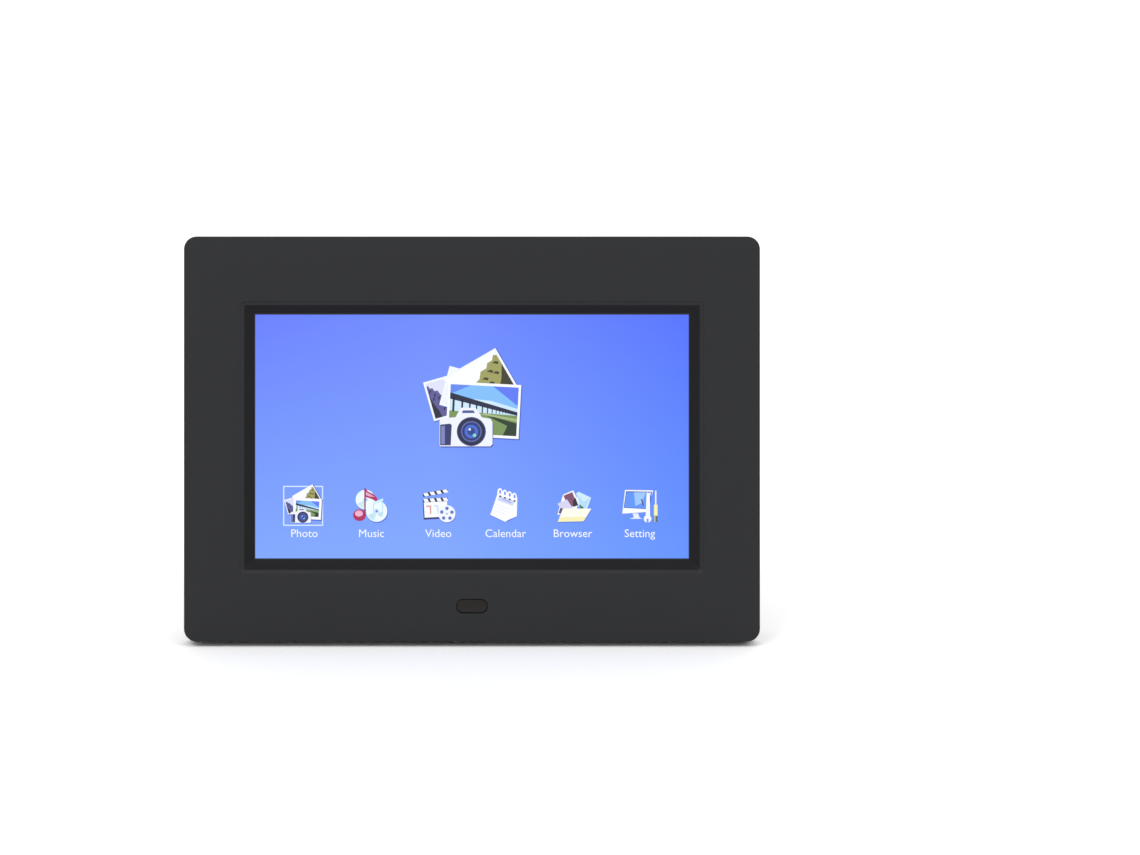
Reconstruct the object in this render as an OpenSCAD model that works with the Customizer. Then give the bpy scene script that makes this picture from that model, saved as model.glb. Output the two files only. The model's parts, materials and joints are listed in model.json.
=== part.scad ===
// Seven-inch digital photo frame, standing on its screw-in leg.
// Pieces are drawn upright: x to the right seen from the front, y back from
// the front face, z up from the bottom edge. lean() then tips them back.

/* [Frame] */
// Width over the outside of the bezel
frame_w = 204; // [198:1:250]
// Height over the outside of the bezel
frame_h = 143.5; // [142:0.5:180]
// Radius of the four outer corners
corner_r = 4.5; // [3:0.5:8]
// Small bevel round the front and rear edges of the rim
edge = 0.5; // [0.2:0.1:0.8]
// How far the frame leans back when it stands on its leg, in degrees
lean_angle = 12; // [8:1:15]

/* [Casing] */
// Thickness of the plastic walls
wall = 2.2; // [1.6:0.1:2.8]
// Depth of the front bezel's side walls
bezel_d = 8; // [8:0.5:11]
// Length of the rear cover's locating lip
lip_l = 1.5; // [1:0.1:2]
// Thickness of the locating lip
lip_t = 1.2; // [0.8:0.1:1.5]
// Clearance round parts that drop into one another
fit = 0.15; // [0.1:0.05:0.25]

/* [Raised back] */
// Space beside the raised back, on each side
back_side = 7; // [5:0.5:9]
// Space above and below the raised back
back_end = 6.75; // [5:0.25:7]
// Depth of the whole frame at the raised back
back_d = 24; // [23:0.5:30]
// Corner radius of the raised back
back_r = 10; // [8.5:0.5:12]
// Bevel round the raised back
back_bevel = 3; // [1:0.5:4]

/* [Screen] */
// Width of the lit picture
screen_w = 154; // [150:0.5:156]
// Height of the lit picture
screen_h = 86.6; // [84:0.2:90]
// Height of the picture's centre above the middle of the frame
screen_rise = 0.9; // [0:0.1:1.5]
// Dark gap between the picture and the bezel
reveal = 0.5; // [0.3:0.1:0.7]
// Width of the sunk border at the left and right
border_side = 4.7; // [3:0.1:6]
// Width of the sunk border at the top
border_top = 4; // [3:0.1:6]
// Width of the sunk border at the bottom
border_bottom = 5.1; // [3:0.1:6]
// Depth of the sunk border
border_d = 3.3; // [2.8:0.1:4]
// Corner radius of the sunk border
border_r = 2.2; // [1:0.1:3]

/* [Display module] */
// Outer width, height of the display module
module_size = [165, 100]; // [99:1:170]
// Thickness of the foam gasket in front of the module
gasket_t = 0.5; // [0.3:0.1:1]
// Thickness of the module's steel front frame
steel_t = 0.3; // [0.2:0.1:0.4]
// Thickness of the liquid crystal glass
glass_t = 1.4; // [1:0.1:1.8]
// Thickness of the stack of light films
films_t = 0.5; // [0.3:0.1:0.7]
// Thickness of the light guide
guide_t = 2.2; // [1.8:0.1:2.6]
// Thickness of the reflector sheet
reflector_t = 0.2; // [0.1:0.1:0.4]
// Thickness of the module's back plate
plate_t = 0.4; // [0.3:0.1:0.6]
// Width of the mid frame's walls
mid_wall = 2.8; // [2:0.1:3]
// Height and thickness of the LED strip
led_strip = [2, 0.6]; // [0.4:0.1:2.2]
// Width, length and thickness of the brackets that hold the module
bracket = [12, 11, 0.8]; // [0.5:0.1:14]
// Height of the brackets above and below the picture's centre
bracket_z = 34; // [20:1:38]

/* [Stand leg] */
// Length of the rod from its shoulder to its tip
leg_l = 94.7; // [88:0.1:104]
// Diameter of the rounded tip
leg_tip_d = 6.1; // [4:0.1:8]
// Diameter of the shoulder
leg_base_d = 11.9; // [10:0.1:13]
// Length at the tip that doesn't taper
leg_even = 10.6; // [5:0.1:20]
// Angle between the leg and a line square to the back
leg_angle = 30; // [26:1:34]
// Outer diameter of the leg's thread
thread_d = 9.4; // [8:0.1:9.8]
// Length of the leg's thread
thread_l = 5; // [4:0.1:6]
// Radial gap between the thread and its socket
thread_gap = 0.1; // [0.05:0.01:0.1]
// Space past the thread's end inside the socket
thread_spare = 1; // [0.5:0.1:1.5]
// Wall of the threaded insert
insert_wall = 1.4; // [1:0.1:1.6]
// Width and thickness of the insert's flange
insert_flange = [1.8, 1.5]; // [1:0.1:2.5]
// Diameter of the well that the leg drops into
well_d = 17; // [16:0.5:20]
// Depth of the shoulder's seat below the raised back
seat_drop = 4; // [3:0.5:5]
// Thickness of the well's floor
well_floor = 1.5; // [1:0.1:2]

/* [Keys] */
// Width, height of a key
key_size = [7.2, 4.6]; // [4:0.1:8.5]
// Distance between neighbouring keys
key_pitch = 11; // [10:0.5:12]
// Height that a key stands proud of the back
key_proud = 1.2; // [0.8:0.1:2]
// Travel of a key
key_travel = 0.5; // [0.3:0.1:0.6]
// Gap between a key and the edge of its hole
key_gap = 0.3; // [0.2:0.05:0.4]
// Width and thickness of a key's retaining flange
key_flange = [0.8, 1]; // [0.5:0.1:1.2]
// Place of the middle key, from the centre line
keys_x = -27; // [-30:1:-26]
// Distance of the keys below the raised back's upper edge
keys_drop = 18.75; // [17:0.25:20]
// Width, thickness and height of a tact switch's body
switch_size = [6, 3.5, 6]; // [3:0.1:7]
// Width, thickness and height of the key board
key_board_size = [90, 1.2, 12]; // [1:0.1:92]

/* [Main board] */
// Width, thickness and height of the main board
board_size = [66, 1.6, 73.5]; // [1:0.1:75]
// Gap between the board's edge and the side wall
board_gap = 4.8; // [3:0.1:6]
// Distance of the board below the raised back's upper edge
board_drop = 15.25; // [14:0.25:17]
// Height of the tallest part on the board
board_room = 8.2; // [8:0.1:10]
// Width and height of the processor, and its thickness
processor_size = [20, 1.4, 20]; // [1:0.1:22]
// Width, thickness and height of the memory chip
memory_size = [10, 1.2, 20]; // [1:0.1:22]
// Width, thickness and height of the flash chip
flash_size = [12, 1.2, 18]; // [1:0.1:20]
// Width, thickness and height of the crystal
crystal_size = [11, 3.5, 4.6]; // [2:0.1:12]
// Width, thickness and height of an inductor
inductor_size = [6, 3, 6]; // [2:0.1:7]
// Diameter and height of a capacitor
capacitor_size = [6.3, 5.8]; // [4:0.1:7]
// Diameter and thickness of the clock's coin cell
cell_size = [20, 3.2]; // [2:0.1:20]

/* [Ports] */
// Distance of the port mouths inside the raised back's side face
port_sink = 0.4; // [0.2:0.1:1]
// Gap between a port and the edge of its hole
port_gap = 0.25; // [0.1:0.05:0.4]
// Depth, height off the board and width of the USB port
usb_size = [14.6, 5.9, 13.1]; // [5:0.1:16]
// Depth, height and width of the mini USB port
mini_size = [9, 3.9, 7.7]; // [3:0.1:10]
// Depth, height and width of the memory card slot
card_size = [28, 3, 26]; // [2.8:0.1:29]
// Thickness of the steel shells of the ports
port_shell = 0.3; // [0.2:0.05:0.4]
// Depth, height and width of the headphone jack's body
jack_size = [12, 5, 6.2]; // [4:0.1:14]
// Diameters of the headphone jack's barrel and bore
jack_d = [5, 3.6]; // [3.5:0.1:6]
// Depth, height and width of the power jack's body
power_size = [11, 7, 8.4]; // [6:0.1:12]
// Diameters of the power jack's barrel, bore and pin
power_d = [6.4, 4.2, 1.6]; // [1:0.1:7]
// Distance from the inside of the wall to the jacks' bodies
jack_room = 1.6; // [1.4:0.1:2.8]

/* [Sound] */
// Diameter and depth of a speaker's basket
speaker_size = [28, 4.8]; // [4:0.1:32]
// Diameter and depth of a speaker's magnet
magnet_size = [18, 4]; // [3:0.1:20]
// Distance of the speakers from the raised back's side faces
speaker_side = 33; // [30:1:36]
// Distance of the speakers above the raised back's lower edge
speaker_up = 23.25; // [22:0.25:26]
// Width and spacing of the grille and vent slots
slot = [1.6, 3.6]; // [1.2:0.1:5]

/* [Infrared window] */
// Width and height of the window
window_size = [10.8, 4.6]; // [3:0.1:12]
// Height of the window's centre above the bottom edge
window_z = 12.6; // [12:0.1:14]
// Dark gap round the window
window_gap = 0.3; // [0.2:0.05:0.4]
// Width and thickness of the board behind the window
ir_board_size = [26, 1]; // [0.8:0.1:28]
// Space between the board and the bezel's face
ir_room = 4.4; // [4:0.1:5]

/* [Fixings] */
// Diameters of a case screw's shank and head
case_screw_d = [3, 5.6]; // [2.5:0.1:7]
// Diameters of a small screw's shank and head
small_screw_d = [2, 4]; // [1.5:0.1:4.4]
// Heights of the case and small screws' heads
head_h = [2, 1]; // [0.8:0.1:2.2]
// Wall of the bosses that the screws bite into
boss_wall = 1.6; // [1.2:0.1:1.8]
// Radial gap round a case screw's head in its well
head_gap = 0.4; // [0.2:0.1:0.5]
// Distance between the two wall-hanging keyholes
keyhole_span = 100; // [90:1:110]
// Distance of the keyholes below the raised back's upper edge
keyhole_drop = 38.75; // [37:0.25:42]
// Diameters of a keyhole's round mouth and of its slot
keyhole_d = [8, 4]; // [3.5:0.1:9]
// Length of a keyhole's slot
keyhole_l = 7; // [5:0.5:9]
// Depth of the closed pocket behind a keyhole
keyhole_room = 4.5; // [3.5:0.1:4.6]
// Wall of the keyhole pockets
pocket_wall = 1.2; // [1:0.1:1.4]
// Width, thickness and height of the blank rating label
label_size = [52, 0.2, 24]; // [0.1:0.1:60]

/* [Hidden] */
$fn = 48;
black = [0.2, 0.2, 0.21];
dark_clear = [0.1, 0.07, 0.07];
steel = [0.75, 0.76, 0.78];
green = [0.05, 0.3, 0.16];
amber = [0.75, 0.45, 0.15];
chip = [0.12, 0.12, 0.13];
ivory = [0.92, 0.9, 0.84];

// Casing
rim_d = bezel_d + wall;
back_w = frame_w - 2 * back_side;
back_h = frame_h - 2 * back_end;
back_top = frame_h - back_end;
back_in = back_d - wall;
back_half_in = back_w / 2 - wall;
mid_z = frame_h / 2;
// Line along the rear bottom edge that the frame stands on
rest_y = rim_d - edge;

// Screen and display module, from front to back
screen_z = mid_z + screen_rise;
open_w = screen_w + 2 * reveal;
open_h = screen_h + 2 * reveal;
recess_w = open_w + 2 * border_side;
module_w = module_size[0];
module_h = module_size[1];
gasket_y = border_d;
module_y = gasket_y + gasket_t;
glass_y = module_y + steel_t;
films_y = glass_y + glass_t;
guide_y = films_y + films_t;
reflector_y = guide_y + guide_t;
plate_y = reflector_y + reflector_t + led_strip[1];
module_back = plate_y + plate_t;
seat_w = module_w - 2 * steel_t;
seat_h = module_h - 2 * steel_t;
light_w = seat_w - 2 * mid_wall;
light_h = seat_h - 2 * mid_wall;
bracket_x = module_w / 2 + bracket[1] / 2;
sight = 1;

// Leg and its sockets
seat_y = back_d - seat_drop;
thread_r = thread_d / 2;
socket_r = thread_r + thread_gap;
insert_r = socket_r + insert_wall;
insert_l = thread_l + thread_spare;
well_r = well_d / 2;
tip_r = leg_tip_d / 2;
reach = leg_l - tip_r;
socket_z = (tip_r + (seat_y - rest_y) * sin(lean_angle) + reach * sin(leg_angle + lean_angle))
    / cos(lean_angle);
// Depth that the whole object covers when it stands
tip_y = (seat_y + reach * cos(leg_angle)) * cos(lean_angle)
    + (socket_z - reach * sin(leg_angle)) * sin(lean_angle) + tip_r;
mid_y = (tip_y + edge * sin(lean_angle)) / 2;

// Keys, from the tops of the keys to their board
key_top = back_d + key_proud;
flange_y = back_in - key_gap;
plunger_y = flange_y - key_flange[1] - 2 * key_travel;
switch_y = plunger_y - key_travel - key_gap - switch_size[1];
key_board_y = switch_y - key_board_size[1];
keys_z = back_top - keys_drop;
plunger_r = 1.7;

// Main board and what it carries
board_x1 = back_half_in - board_gap;
board_x0 = board_x1 - board_size[0];
board_z1 = back_top - board_drop;
board_z0 = board_z1 - board_size[2];
board_y1 = back_in - board_room;
board_y0 = board_y1 - board_size[1];
// Offsets on the board from its lower left corner
board_holes = [[4, 4], [14, board_size[2] - 4.5], [40, board_size[2] - 4.5], [48, 4]];
processor_at = [30, 38];
memory_at = [12, 35.5];
flash_at = [12, 55.5];
crystal_at = [34, 25.2];
cell_at = [15, 14.5];
cell_lift = 0.6;
holder_t = 2;
inductor_at = [[31, 7], [40, 7]];
capacitor_at = [for (i = [0:3]) [29.6 + 8 * i, 19]];
usb_at = 39;
mini_at = 26.5;
card_at = 60;
jack_at = 17;
power_at = 6;
socket_h = [1.6, 4];
key_plug_at = 65.5;
screen_plug_at = 40;
wire_plug_x = [12, 25];
wire_plug_size = [7, 4, 3.6];
mouth_x = back_w / 2 - port_sink;
barrel_l = wall + jack_room;
tongue_t = [1.8, 0.7];

// Speakers
speaker_x = back_w / 2 - speaker_side;
speaker_z = back_end + speaker_up;
speaker_r = speaker_size[0] / 2;
speaker_y = back_in - gasket_t - speaker_size[1];
speaker_rib = 1.2;
basket_t = 0.6;
rim_w = 2;
hub_r = 4;
cone_t = 0.6;
// Heights of the cone's hub and of the magnet's pole above the basket's floor
hub_up = 1.4;
pole_up = 1.2;

// Infrared board
ir_y = wall + ir_room;
// The board ends above the cover's rim
ir_board_h = 2 * (window_z - back_end - wall - fit);
ir_part_x = 2.6;
window_flange = [1, 0.8];
ir_case = [4.6, 2, 5.6];
ir_lens_r = 1.4;
led_r = 1.5;
led_collar = [1.9, 0.8];
ir_hole_x = ir_board_size[0] / 2 - 2.6;

// Screws
case_r = case_screw_d[0] / 2;
small_r = small_screw_d[0] / 2;
case_seat = module_back + 0.6;
case_floor = 1.5;
case_well_r = case_screw_d[1] / 2 + head_gap;
case_boss_r = case_r + boss_wall;
small_boss_r = small_r + boss_wall;
bite = 5;
case_x = back_w / 2 - back_r;
case_z = [back_end + back_r, back_top - back_r];
keyhole_z = back_top - keyhole_drop;
pocket_room = 2.5;
vent_w = 24;
vent_x = board_x0 + vent_w;
vent_z = board_z0 + cell_at[1] + 4;
over = 1;

// Cords inside, with the number of sides that they are drawn with
cord_r = 0.6;
cord_sides = 12;
// Depths of the cords behind the display module and at their plugs
slack_y = module_back + 1;
plug_y = board_y1 + 2;
// Distance of the plugs' cords from the middle of their connector
plug_x = 1.7;
cable_t = 0.2;
screen_cable_w = 24;
key_cable_w = 4;

// ---- Shapes that repeat ----

module lean() {
    translate([0, -mid_y, rest_y * sin(lean_angle)]) rotate([-lean_angle, 0, 0]) children();
}

module plate(y0, y1) {
    translate([0, y1, 0]) rotate([90, 0, 0]) linear_extrude(y1 - y0) children();
}

module round_rect(w, h, r) {
    square([w - 2 * r, h], center = true);
    square([w, h - 2 * r], center = true);
    for (x = [-1, 1], z = [-1, 1]) translate([x * (w / 2 - r), z * (h / 2 - r)]) circle(r);
}

module block(x, y, z, size) {
    translate([x - size[0] / 2, y, z - size[2] / 2]) cube(size);
}

module peg(x, z, r, y0, y1) {
    translate([x, y1, z]) rotate([90, 0, 0]) cylinder(r = r, h = y1 - y0);
}

// A rounded slab whose rear edge is bevelled by c
module slab(w, h, r, y0, y1, c) {
    plate(y0, y1 - c) round_rect(w, h, r);
    translate([0, 0, r - h / 2]) linear_extrude(h - 2 * r) taper(w / 2, y1 - c, y1, c);
    rotate([0, 90, 0]) translate([0, 0, r - w / 2]) linear_extrude(w - 2 * r) taper(h / 2, y1 - c, y1, c);
    for (x = [-1, 1], z = [-1, 1]) {
        translate([x * (w / 2 - r), y1, z * (h / 2 - r)]) rotate([90, 0, 0])
            cylinder(r1 = r - c, r2 = r, h = c);
    }
}

// A symmetric tapered outline between two depths
module taper(half, y0, y1, c) {
    polygon([[-half, y0], [half, y0], [half - c, y1], [c - half, y1]]);
}

// The outline of the sunk border across x or z, wider at the front
module funnel(low, high, low_out, high_out, depth) {
    low_step = low_out / depth;
    high_step = high_out / depth;
    polygon([[-low - low_out - low_step * over, -over], [high + high_out + high_step * over, -over],
        [high, depth], [high, depth + over], [-low, depth + over], [-low, depth]]);
}

module oval(w, h) {
    square([w - h, h], center = true);
    for (x = [-1, 1]) translate([x * (w - h) / 2, 0]) circle(h / 2);
}

module screw(x, z, d, head, y_seat, length, toward) {
    translate([x, y_seat, z]) rotate([toward * 90, 0, 0]) rotate_extrude() polygon([[0, -length],
        [d[0] / 2, -length], [d[0] / 2, 0], [d[1] / 2, 0], [d[1] / 2, head / 2], [d[1] / 2 - head / 2, head],
        [0, head]]);
}

function unit(v) = v / norm(v);

// The cord's outline round its first point, square to the run d
function cord_start(at, d) =
    let (u = unit(cross(d, abs(d[2]) < 0.9 ? [0, 0, 1] : [1, 0, 0])), v = cross(d, u))
    [for (i = [0:cord_sides - 1]) let (a = 360 * i / cord_sides) at + cord_r * (u * cos(a) + v * sin(a))];

// The outlines at the next points, each slid along its run to the mitre of the bend
function cord_rings(points, last, i = 1) = i == len(points) ? [] :
    let (d = unit(points[i] - points[i - 1]),
        out = i < len(points) - 1 ? unit(points[i + 1] - points[i]) : d,
        t = unit(d + out),
        ring = [for (v = last) v + d * (((points[i] - v) * t) / (d * t))])
    concat([ring], cord_rings(points, ring, i + 1));

// A round cord through a row of points
module cord(points) {
    start = cord_start(points[0], unit(points[1] - points[0]));
    rings = concat([start], cord_rings(points, start));
    n = cord_sides;
    polyhedron([for (ring = rings) each ring], concat([[for (i = [0:n - 1]) i]],
        [for (k = [0:len(rings) - 2], i = [0:n - 1]) let (next = (i + 1) % n)
            [k * n + i, (k + 1) * n + i, (k + 1) * n + next, k * n + next]],
        [[for (i = [n - 1:-1:0]) (len(rings) - 1) * n + i]]));
}

module at_socket(portrait) {
    translate(portrait ? [socket_z - frame_w / 2, seat_y, mid_z] : [0, seat_y, socket_z])
        rotate([0, portrait ? 90 : 0, 0]) rotate([-90 - leg_angle, 0, 0]) children();
}

module on_board(at) {
    translate([board_x0 + at[0], 0, board_z0 + at[1]]) children();
}

// ---- Casing ----

module front_bezel() color(black) lean() {
    outer_top = open_h / 2 + border_top;
    outer_low = open_h / 2 + border_bottom;
    difference() {
        union() {
            difference() {
                translate([0, bezel_d, mid_z]) rotate([180, 0, 0])
                    slab(frame_w, frame_h, corner_r, 0, bezel_d, edge);
                translate([0, 0, mid_z]) plate(wall, bezel_d + over)
                    round_rect(frame_w - 2 * wall, frame_h - 2 * wall, corner_r - wall);
            }
            translate([0, 0, screen_z + (border_top - border_bottom) / 2]) plate(edge, border_d)
                round_rect(recess_w + 2 * wall, outer_top + outer_low + 2 * wall, border_r + wall);
            for (x = [-1, 1], z = case_z) peg(x * case_x, z, case_boss_r, wall / 2, case_seat);
            for (x = [-1, 1], z = [-1, 1]) {
                peg(x * bracket_x, screen_z + z * bracket_z, small_boss_r, wall / 2, module_back);
            }
            for (x = [-1, 1]) peg(x * ir_hole_x, window_z, small_boss_r, wall / 2, ir_y);
        }
        translate([0, 0, screen_z]) sunk_border(outer_low, outer_top);
        translate([0, 0, window_z]) plate(-over, wall + over)
            oval(window_size[0] + 2 * window_gap, window_size[1] + 2 * window_gap);
        for (x = [-1, 1], z = case_z) peg(x * case_x, z, case_r, case_seat - bite, case_seat + over);
        for (x = [-1, 1], z = [-1, 1]) {
            peg(x * bracket_x, screen_z + z * bracket_z, small_r, module_back - bite, module_back + over);
        }
        for (x = [-1, 1]) peg(x * ir_hole_x, window_z, small_r, wall, ir_y + over);
    }
}

module sunk_border(outer_low, outer_top) {
    intersection() {
        translate([0, 0, -frame_h / 2]) linear_extrude(frame_h)
            funnel(open_w / 2, open_w / 2, border_side, border_side, border_d);
        rotate([0, -90, 0]) translate([0, 0, -frame_w / 2]) linear_extrude(frame_w)
            funnel(open_h / 2, open_h / 2, border_bottom, border_top, border_d);
        translate([0, 0, (outer_top - outer_low) / 2]) plate(-over, border_d + over)
            round_rect(recess_w, outer_top + outer_low, border_r);
    }
}

module rear_cover() color(black) lean() difference() {
    union() {
        difference() {
            union() {
                translate([0, 0, mid_z]) slab(frame_w, frame_h, corner_r, bezel_d, rim_d, edge);
                translate([0, 0, mid_z]) slab(back_w, back_h, back_r, bezel_d, back_d, back_bevel);
                translate([0, 0, mid_z]) plate(bezel_d - lip_l, bezel_d + over) lip_outline(0);
            }
            translate([0, 0, mid_z]) plate(bezel_d - lip_l - over, bezel_d) lip_outline(lip_t);
            translate([0, 0, mid_z]) slab(back_w - 2 * wall, back_h - 2 * wall, back_r - wall, bezel_d - over,
                back_in, back_bevel);
        }
        intersection() {
            union() {
                for (portrait = [false, true]) at_socket(portrait) {
                    translate([0, 0, -well_floor]) cylinder(r = well_r + wall, h = back_d);
                }
            }
            translate([0, 0, mid_z]) plate(0, back_d - over) round_rect(back_w - wall, back_h - wall, back_r);
        }
        for (x = [-1, 1], z = case_z) peg(x * case_x, z, case_well_r + case_floor, case_seat, back_in + over);
        for (at = board_holes) on_board(at) peg(0, 0, small_boss_r, board_y1, back_in + over);
        for (x = key_board_holes()) {
            peg(x, keys_z, small_boss_r, key_board_y + key_board_size[1], back_in + over);
        }
        for (x = [-1, 1]) {
            peg(x * speaker_x, speaker_z, speaker_r + fit + speaker_rib, speaker_y, back_in + over);
        }
        for (x = [-1, 1]) translate([x * keyhole_span / 2, 0, keyhole_z]) {
            plate(back_in - keyhole_room - pocket_wall, back_in + over) keyhole(pocket_room + pocket_wall);
        }
    }
    for (portrait = [false, true]) at_socket(portrait) {
        cylinder(r = well_r, h = 2 * back_d);
        translate([0, 0, -well_floor - over]) cylinder(r = insert_r + 3 * fit, h = well_floor + 2 * over);
        translate([0, 0, -insert_l]) cylinder(r = insert_r + insert_flange[0] + fit, h = insert_l - well_floor);
    }
    for (x = [-1, 1], z = case_z) {
        peg(x * case_x, z, case_well_r, case_seat + case_floor, back_d + over);
        peg(x * case_x, z, case_r + fit, case_seat - over, back_d);
    }
    for (at = board_holes) on_board(at) peg(0, 0, small_r, board_y1 - over, board_y1 + bite);
    for (x = key_board_holes()) {
        peg(x, keys_z, small_r, key_board_y, key_board_y + key_board_size[1] + bite);
    }
    for (x = [-1, 1]) translate([x * speaker_x, 0, speaker_z]) {
        peg(0, 0, speaker_r + fit, speaker_y - over, back_in);
        plate(back_in - over, back_d + over) slots(speaker_r - 2 * slot[0]);
    }
    for (i = [-3:3]) translate([keys_x + i * key_pitch, 0, keys_z]) plate(back_in - over, back_d + over)
        oval(key_size[0] + 2 * key_gap, key_size[1] + 2 * key_gap);
    for (x = [-1, 1]) translate([x * keyhole_span / 2, 0, keyhole_z]) {
        plate(back_in - keyhole_room, back_in) keyhole(pocket_room);
        plate(back_in - over, back_d + over) keyhole(0);
    }
    translate([vent_x, 0, vent_z]) plate(back_in - over, back_d + over) {
        for (i = [-3:3]) translate([0, i * slot[1]]) oval(vent_w, slot[0]);
    }
    port_holes();
}

module lip_outline(inset) {
    step = wall + fit + inset;
    round_rect(frame_w - 2 * step, frame_h - 2 * step, max(corner_r - step, fit));
}

// Slots that fill a circle of radius r
module slots(r) {
    rows = floor((r - slot[0]) / slot[1]);
    for (i = [-rows:rows]) translate([0, i * slot[1]]) oval(2 * sqrt(r * r - pow(i * slot[1], 2)), slot[0]);
}

// A round mouth with a slot above it, grown by m all round
module keyhole(m) {
    circle(keyhole_d[0] / 2 + m);
    translate([0, keyhole_l]) circle(keyhole_d[1] / 2 + m);
    translate([-keyhole_d[1] / 2 - m, 0]) square([keyhole_d[1] + 2 * m, keyhole_l]);
}

function key_board_holes() = [for (s = [-1, 1]) keys_x + s * (key_board_size[0] / 2 - small_boss_r - fit)];

module port_holes() {
    port_hole(usb_at, usb_size);
    port_hole(mini_at, mini_size);
    port_hole(card_at, card_size);
    barrel_hole(jack_at, jack_size, jack_d[0]);
    barrel_hole(power_at, power_size, power_d[0]);
}

module port_hole(at, size) {
    block(mouth_x, board_y1 - port_gap, board_z0 + at,
        [2 * board_gap, size[1] + 2 * port_gap, size[2] + 2 * port_gap]);
}

module barrel_hole(at, size, d) {
    translate([mouth_x - 2 * wall, board_y1 + size[1] / 2, board_z0 + at]) rotate([0, 90, 0])
        cylinder(r = d / 2 + port_gap, h = 3 * wall);
}

module ir_window() color(dark_clear) lean() translate([0, 0, window_z]) {
    plate(0, wall) oval(window_size[0], window_size[1]);
    plate(wall, wall + window_flange[1])
        oval(window_size[0] + 2 * window_flange[0], window_size[1] + 2 * window_flange[0]);
}

module rating_label() color(steel) lean() {
    block(0, back_d, speaker_z, label_size);
}

// ---- Display module ----

module ring(w, h, w_in, h_in, y0, y1) {
    plate(y0, y1) difference() {
        square([w, h], center = true);
        square([w_in, h_in], center = true);
    }
}

module in_screen() {
    lean() translate([0, 0, screen_z]) children();
}

module lcd_gasket() color(chip) in_screen() {
    ring(module_w, module_h, open_w + 2 * sight, open_h + 2 * sight, gasket_y, module_y);
}

module lcd_front_frame() color(steel) in_screen() {
    ring(module_w, module_h, open_w + 2 * sight, open_h + 2 * sight, module_y, glass_y);
    ring(module_w, module_h, seat_w, seat_h, module_y, plate_y);
}

module lcd_panel() color([0.35, 0.5, 0.95]) in_screen() {
    plate(glass_y, films_y) square([seat_w - 2 * fit, seat_h - 2 * fit], center = true);
}

module lcd_film_stack() color([0.9, 0.92, 0.95]) in_screen() {
    plate(films_y, guide_y) square([light_w - 2 * fit, light_h - 2 * fit], center = true);
}

module lcd_light_guide() color([0.85, 0.9, 0.95]) in_screen() {
    translate([0, 0, led_strip[1] / 2]) plate(guide_y, reflector_y)
        square([light_w - 2 * fit, light_h - 2 * fit - led_strip[1]], center = true);
}

module lcd_reflector() color("white") in_screen() {
    plate(reflector_y, reflector_y + reflector_t)
        square([light_w - 2 * fit, light_h - 2 * fit], center = true);
}

module lcd_mid_frame() color("white") in_screen() {
    ring(seat_w, seat_h, light_w, light_h, films_y, plate_y);
}

module lcd_led_strip() color("white") in_screen() {
    plate(guide_y, guide_y + led_strip[0]) translate([0, fit + (led_strip[1] - light_h) / 2])
        square([light_w - 2 * mid_wall, led_strip[1]], center = true);
}

module lcd_back_plate() color(steel) in_screen() {
    plate(plate_y, module_back) square([module_w, module_h], center = true);
}

module lcd_brackets() color(steel) in_screen() {
    for (x = [-1, 1], z = [-1, 1]) translate([x * bracket_x, 0, z * bracket_z]) difference() {
        translate([-x * small_boss_r, 0, 0])
            block(0, module_back, 0, [bracket[1], bracket[2], bracket[0]]);
        peg(0, 0, small_r + fit, module_back - over, module_back + over);
    }
}

module bezel_screws() color(steel) lean() {
    for (x = [-1, 1], z = [-1, 1]) {
        screw(x * bracket_x, screen_z + z * bracket_z, small_screw_d, head_h[1], module_back + bracket[2],
            bite - over, -1);
    }
    for (x = [-1, 1]) {
        screw(x * ir_hole_x, window_z, small_screw_d, head_h[1], ir_y + ir_board_size[1], ir_room - over, -1);
    }
}

// A flat cable, folded from height y0 at x0 to height y1 at x1
module flat_cable(x0, x1, y0, y1, z0, width) {
    third = (x1 - x0) / 3;
    translate([0, 0, z0]) linear_extrude(width) polygon([[x0, y0], [x0 + third, y0], [x1 - third, y1],
        [x1, y1], [x1, y1 + cable_t], [x1 - third, y1 + cable_t], [x0 + third, y0 + cable_t],
        [x0, y0 + cable_t]]);
}

module lcd_ribbon() color(amber) lean() {
    flat_cable(board_x0 - 2 * board_gap, board_x0 + 1, module_back, board_y1,
        board_z0 + screen_plug_at - screen_cable_w / 2, screen_cable_w);
}

module backlight_wires() color("red") lean() {
    x = board_x0 + wire_plug_x[1] + plug_x;
    low = screen_z - module_h / 2 - 0.8;
    cord([[x + 9, module_back - 1.5, low], [x + 9, slack_y, low], [x + 5, slack_y, low + 16],
        [x, slack_y + 1.6, board_z0 - 4], [x, plug_y, board_z0 - 2], [x, plug_y, board_z0]]);
}

// ---- Main board ----

module mainboard() color(green) lean() difference() {
    translate([board_x0, board_y0, board_z0]) cube(board_size);
    for (at = board_holes) on_board(at) peg(0, 0, small_r + fit, board_y0 - over, board_y1 + over);
}

module processor() color(chip) lean() on_board(processor_at) block(0, board_y1, 0, processor_size);

module memory_chip() color(chip) lean() on_board(memory_at) block(0, board_y1, 0, memory_size);

module flash_chip() color(chip) lean() on_board(flash_at) block(0, board_y1, 0, flash_size);

module crystal() color(steel) lean() on_board(crystal_at) plate(board_y1, board_y1 + crystal_size[1])
    oval(crystal_size[0], crystal_size[2]);

module capacitors() color(steel) lean() {
    for (at = capacitor_at) on_board(at) {
        peg(0, 0, capacitor_size[0] / 2, board_y1, board_y1 + capacitor_size[1]);
    }
}

module inductors() color(chip) lean() {
    for (at = inductor_at) on_board(at) block(0, board_y1, 0, inductor_size);
}

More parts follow.
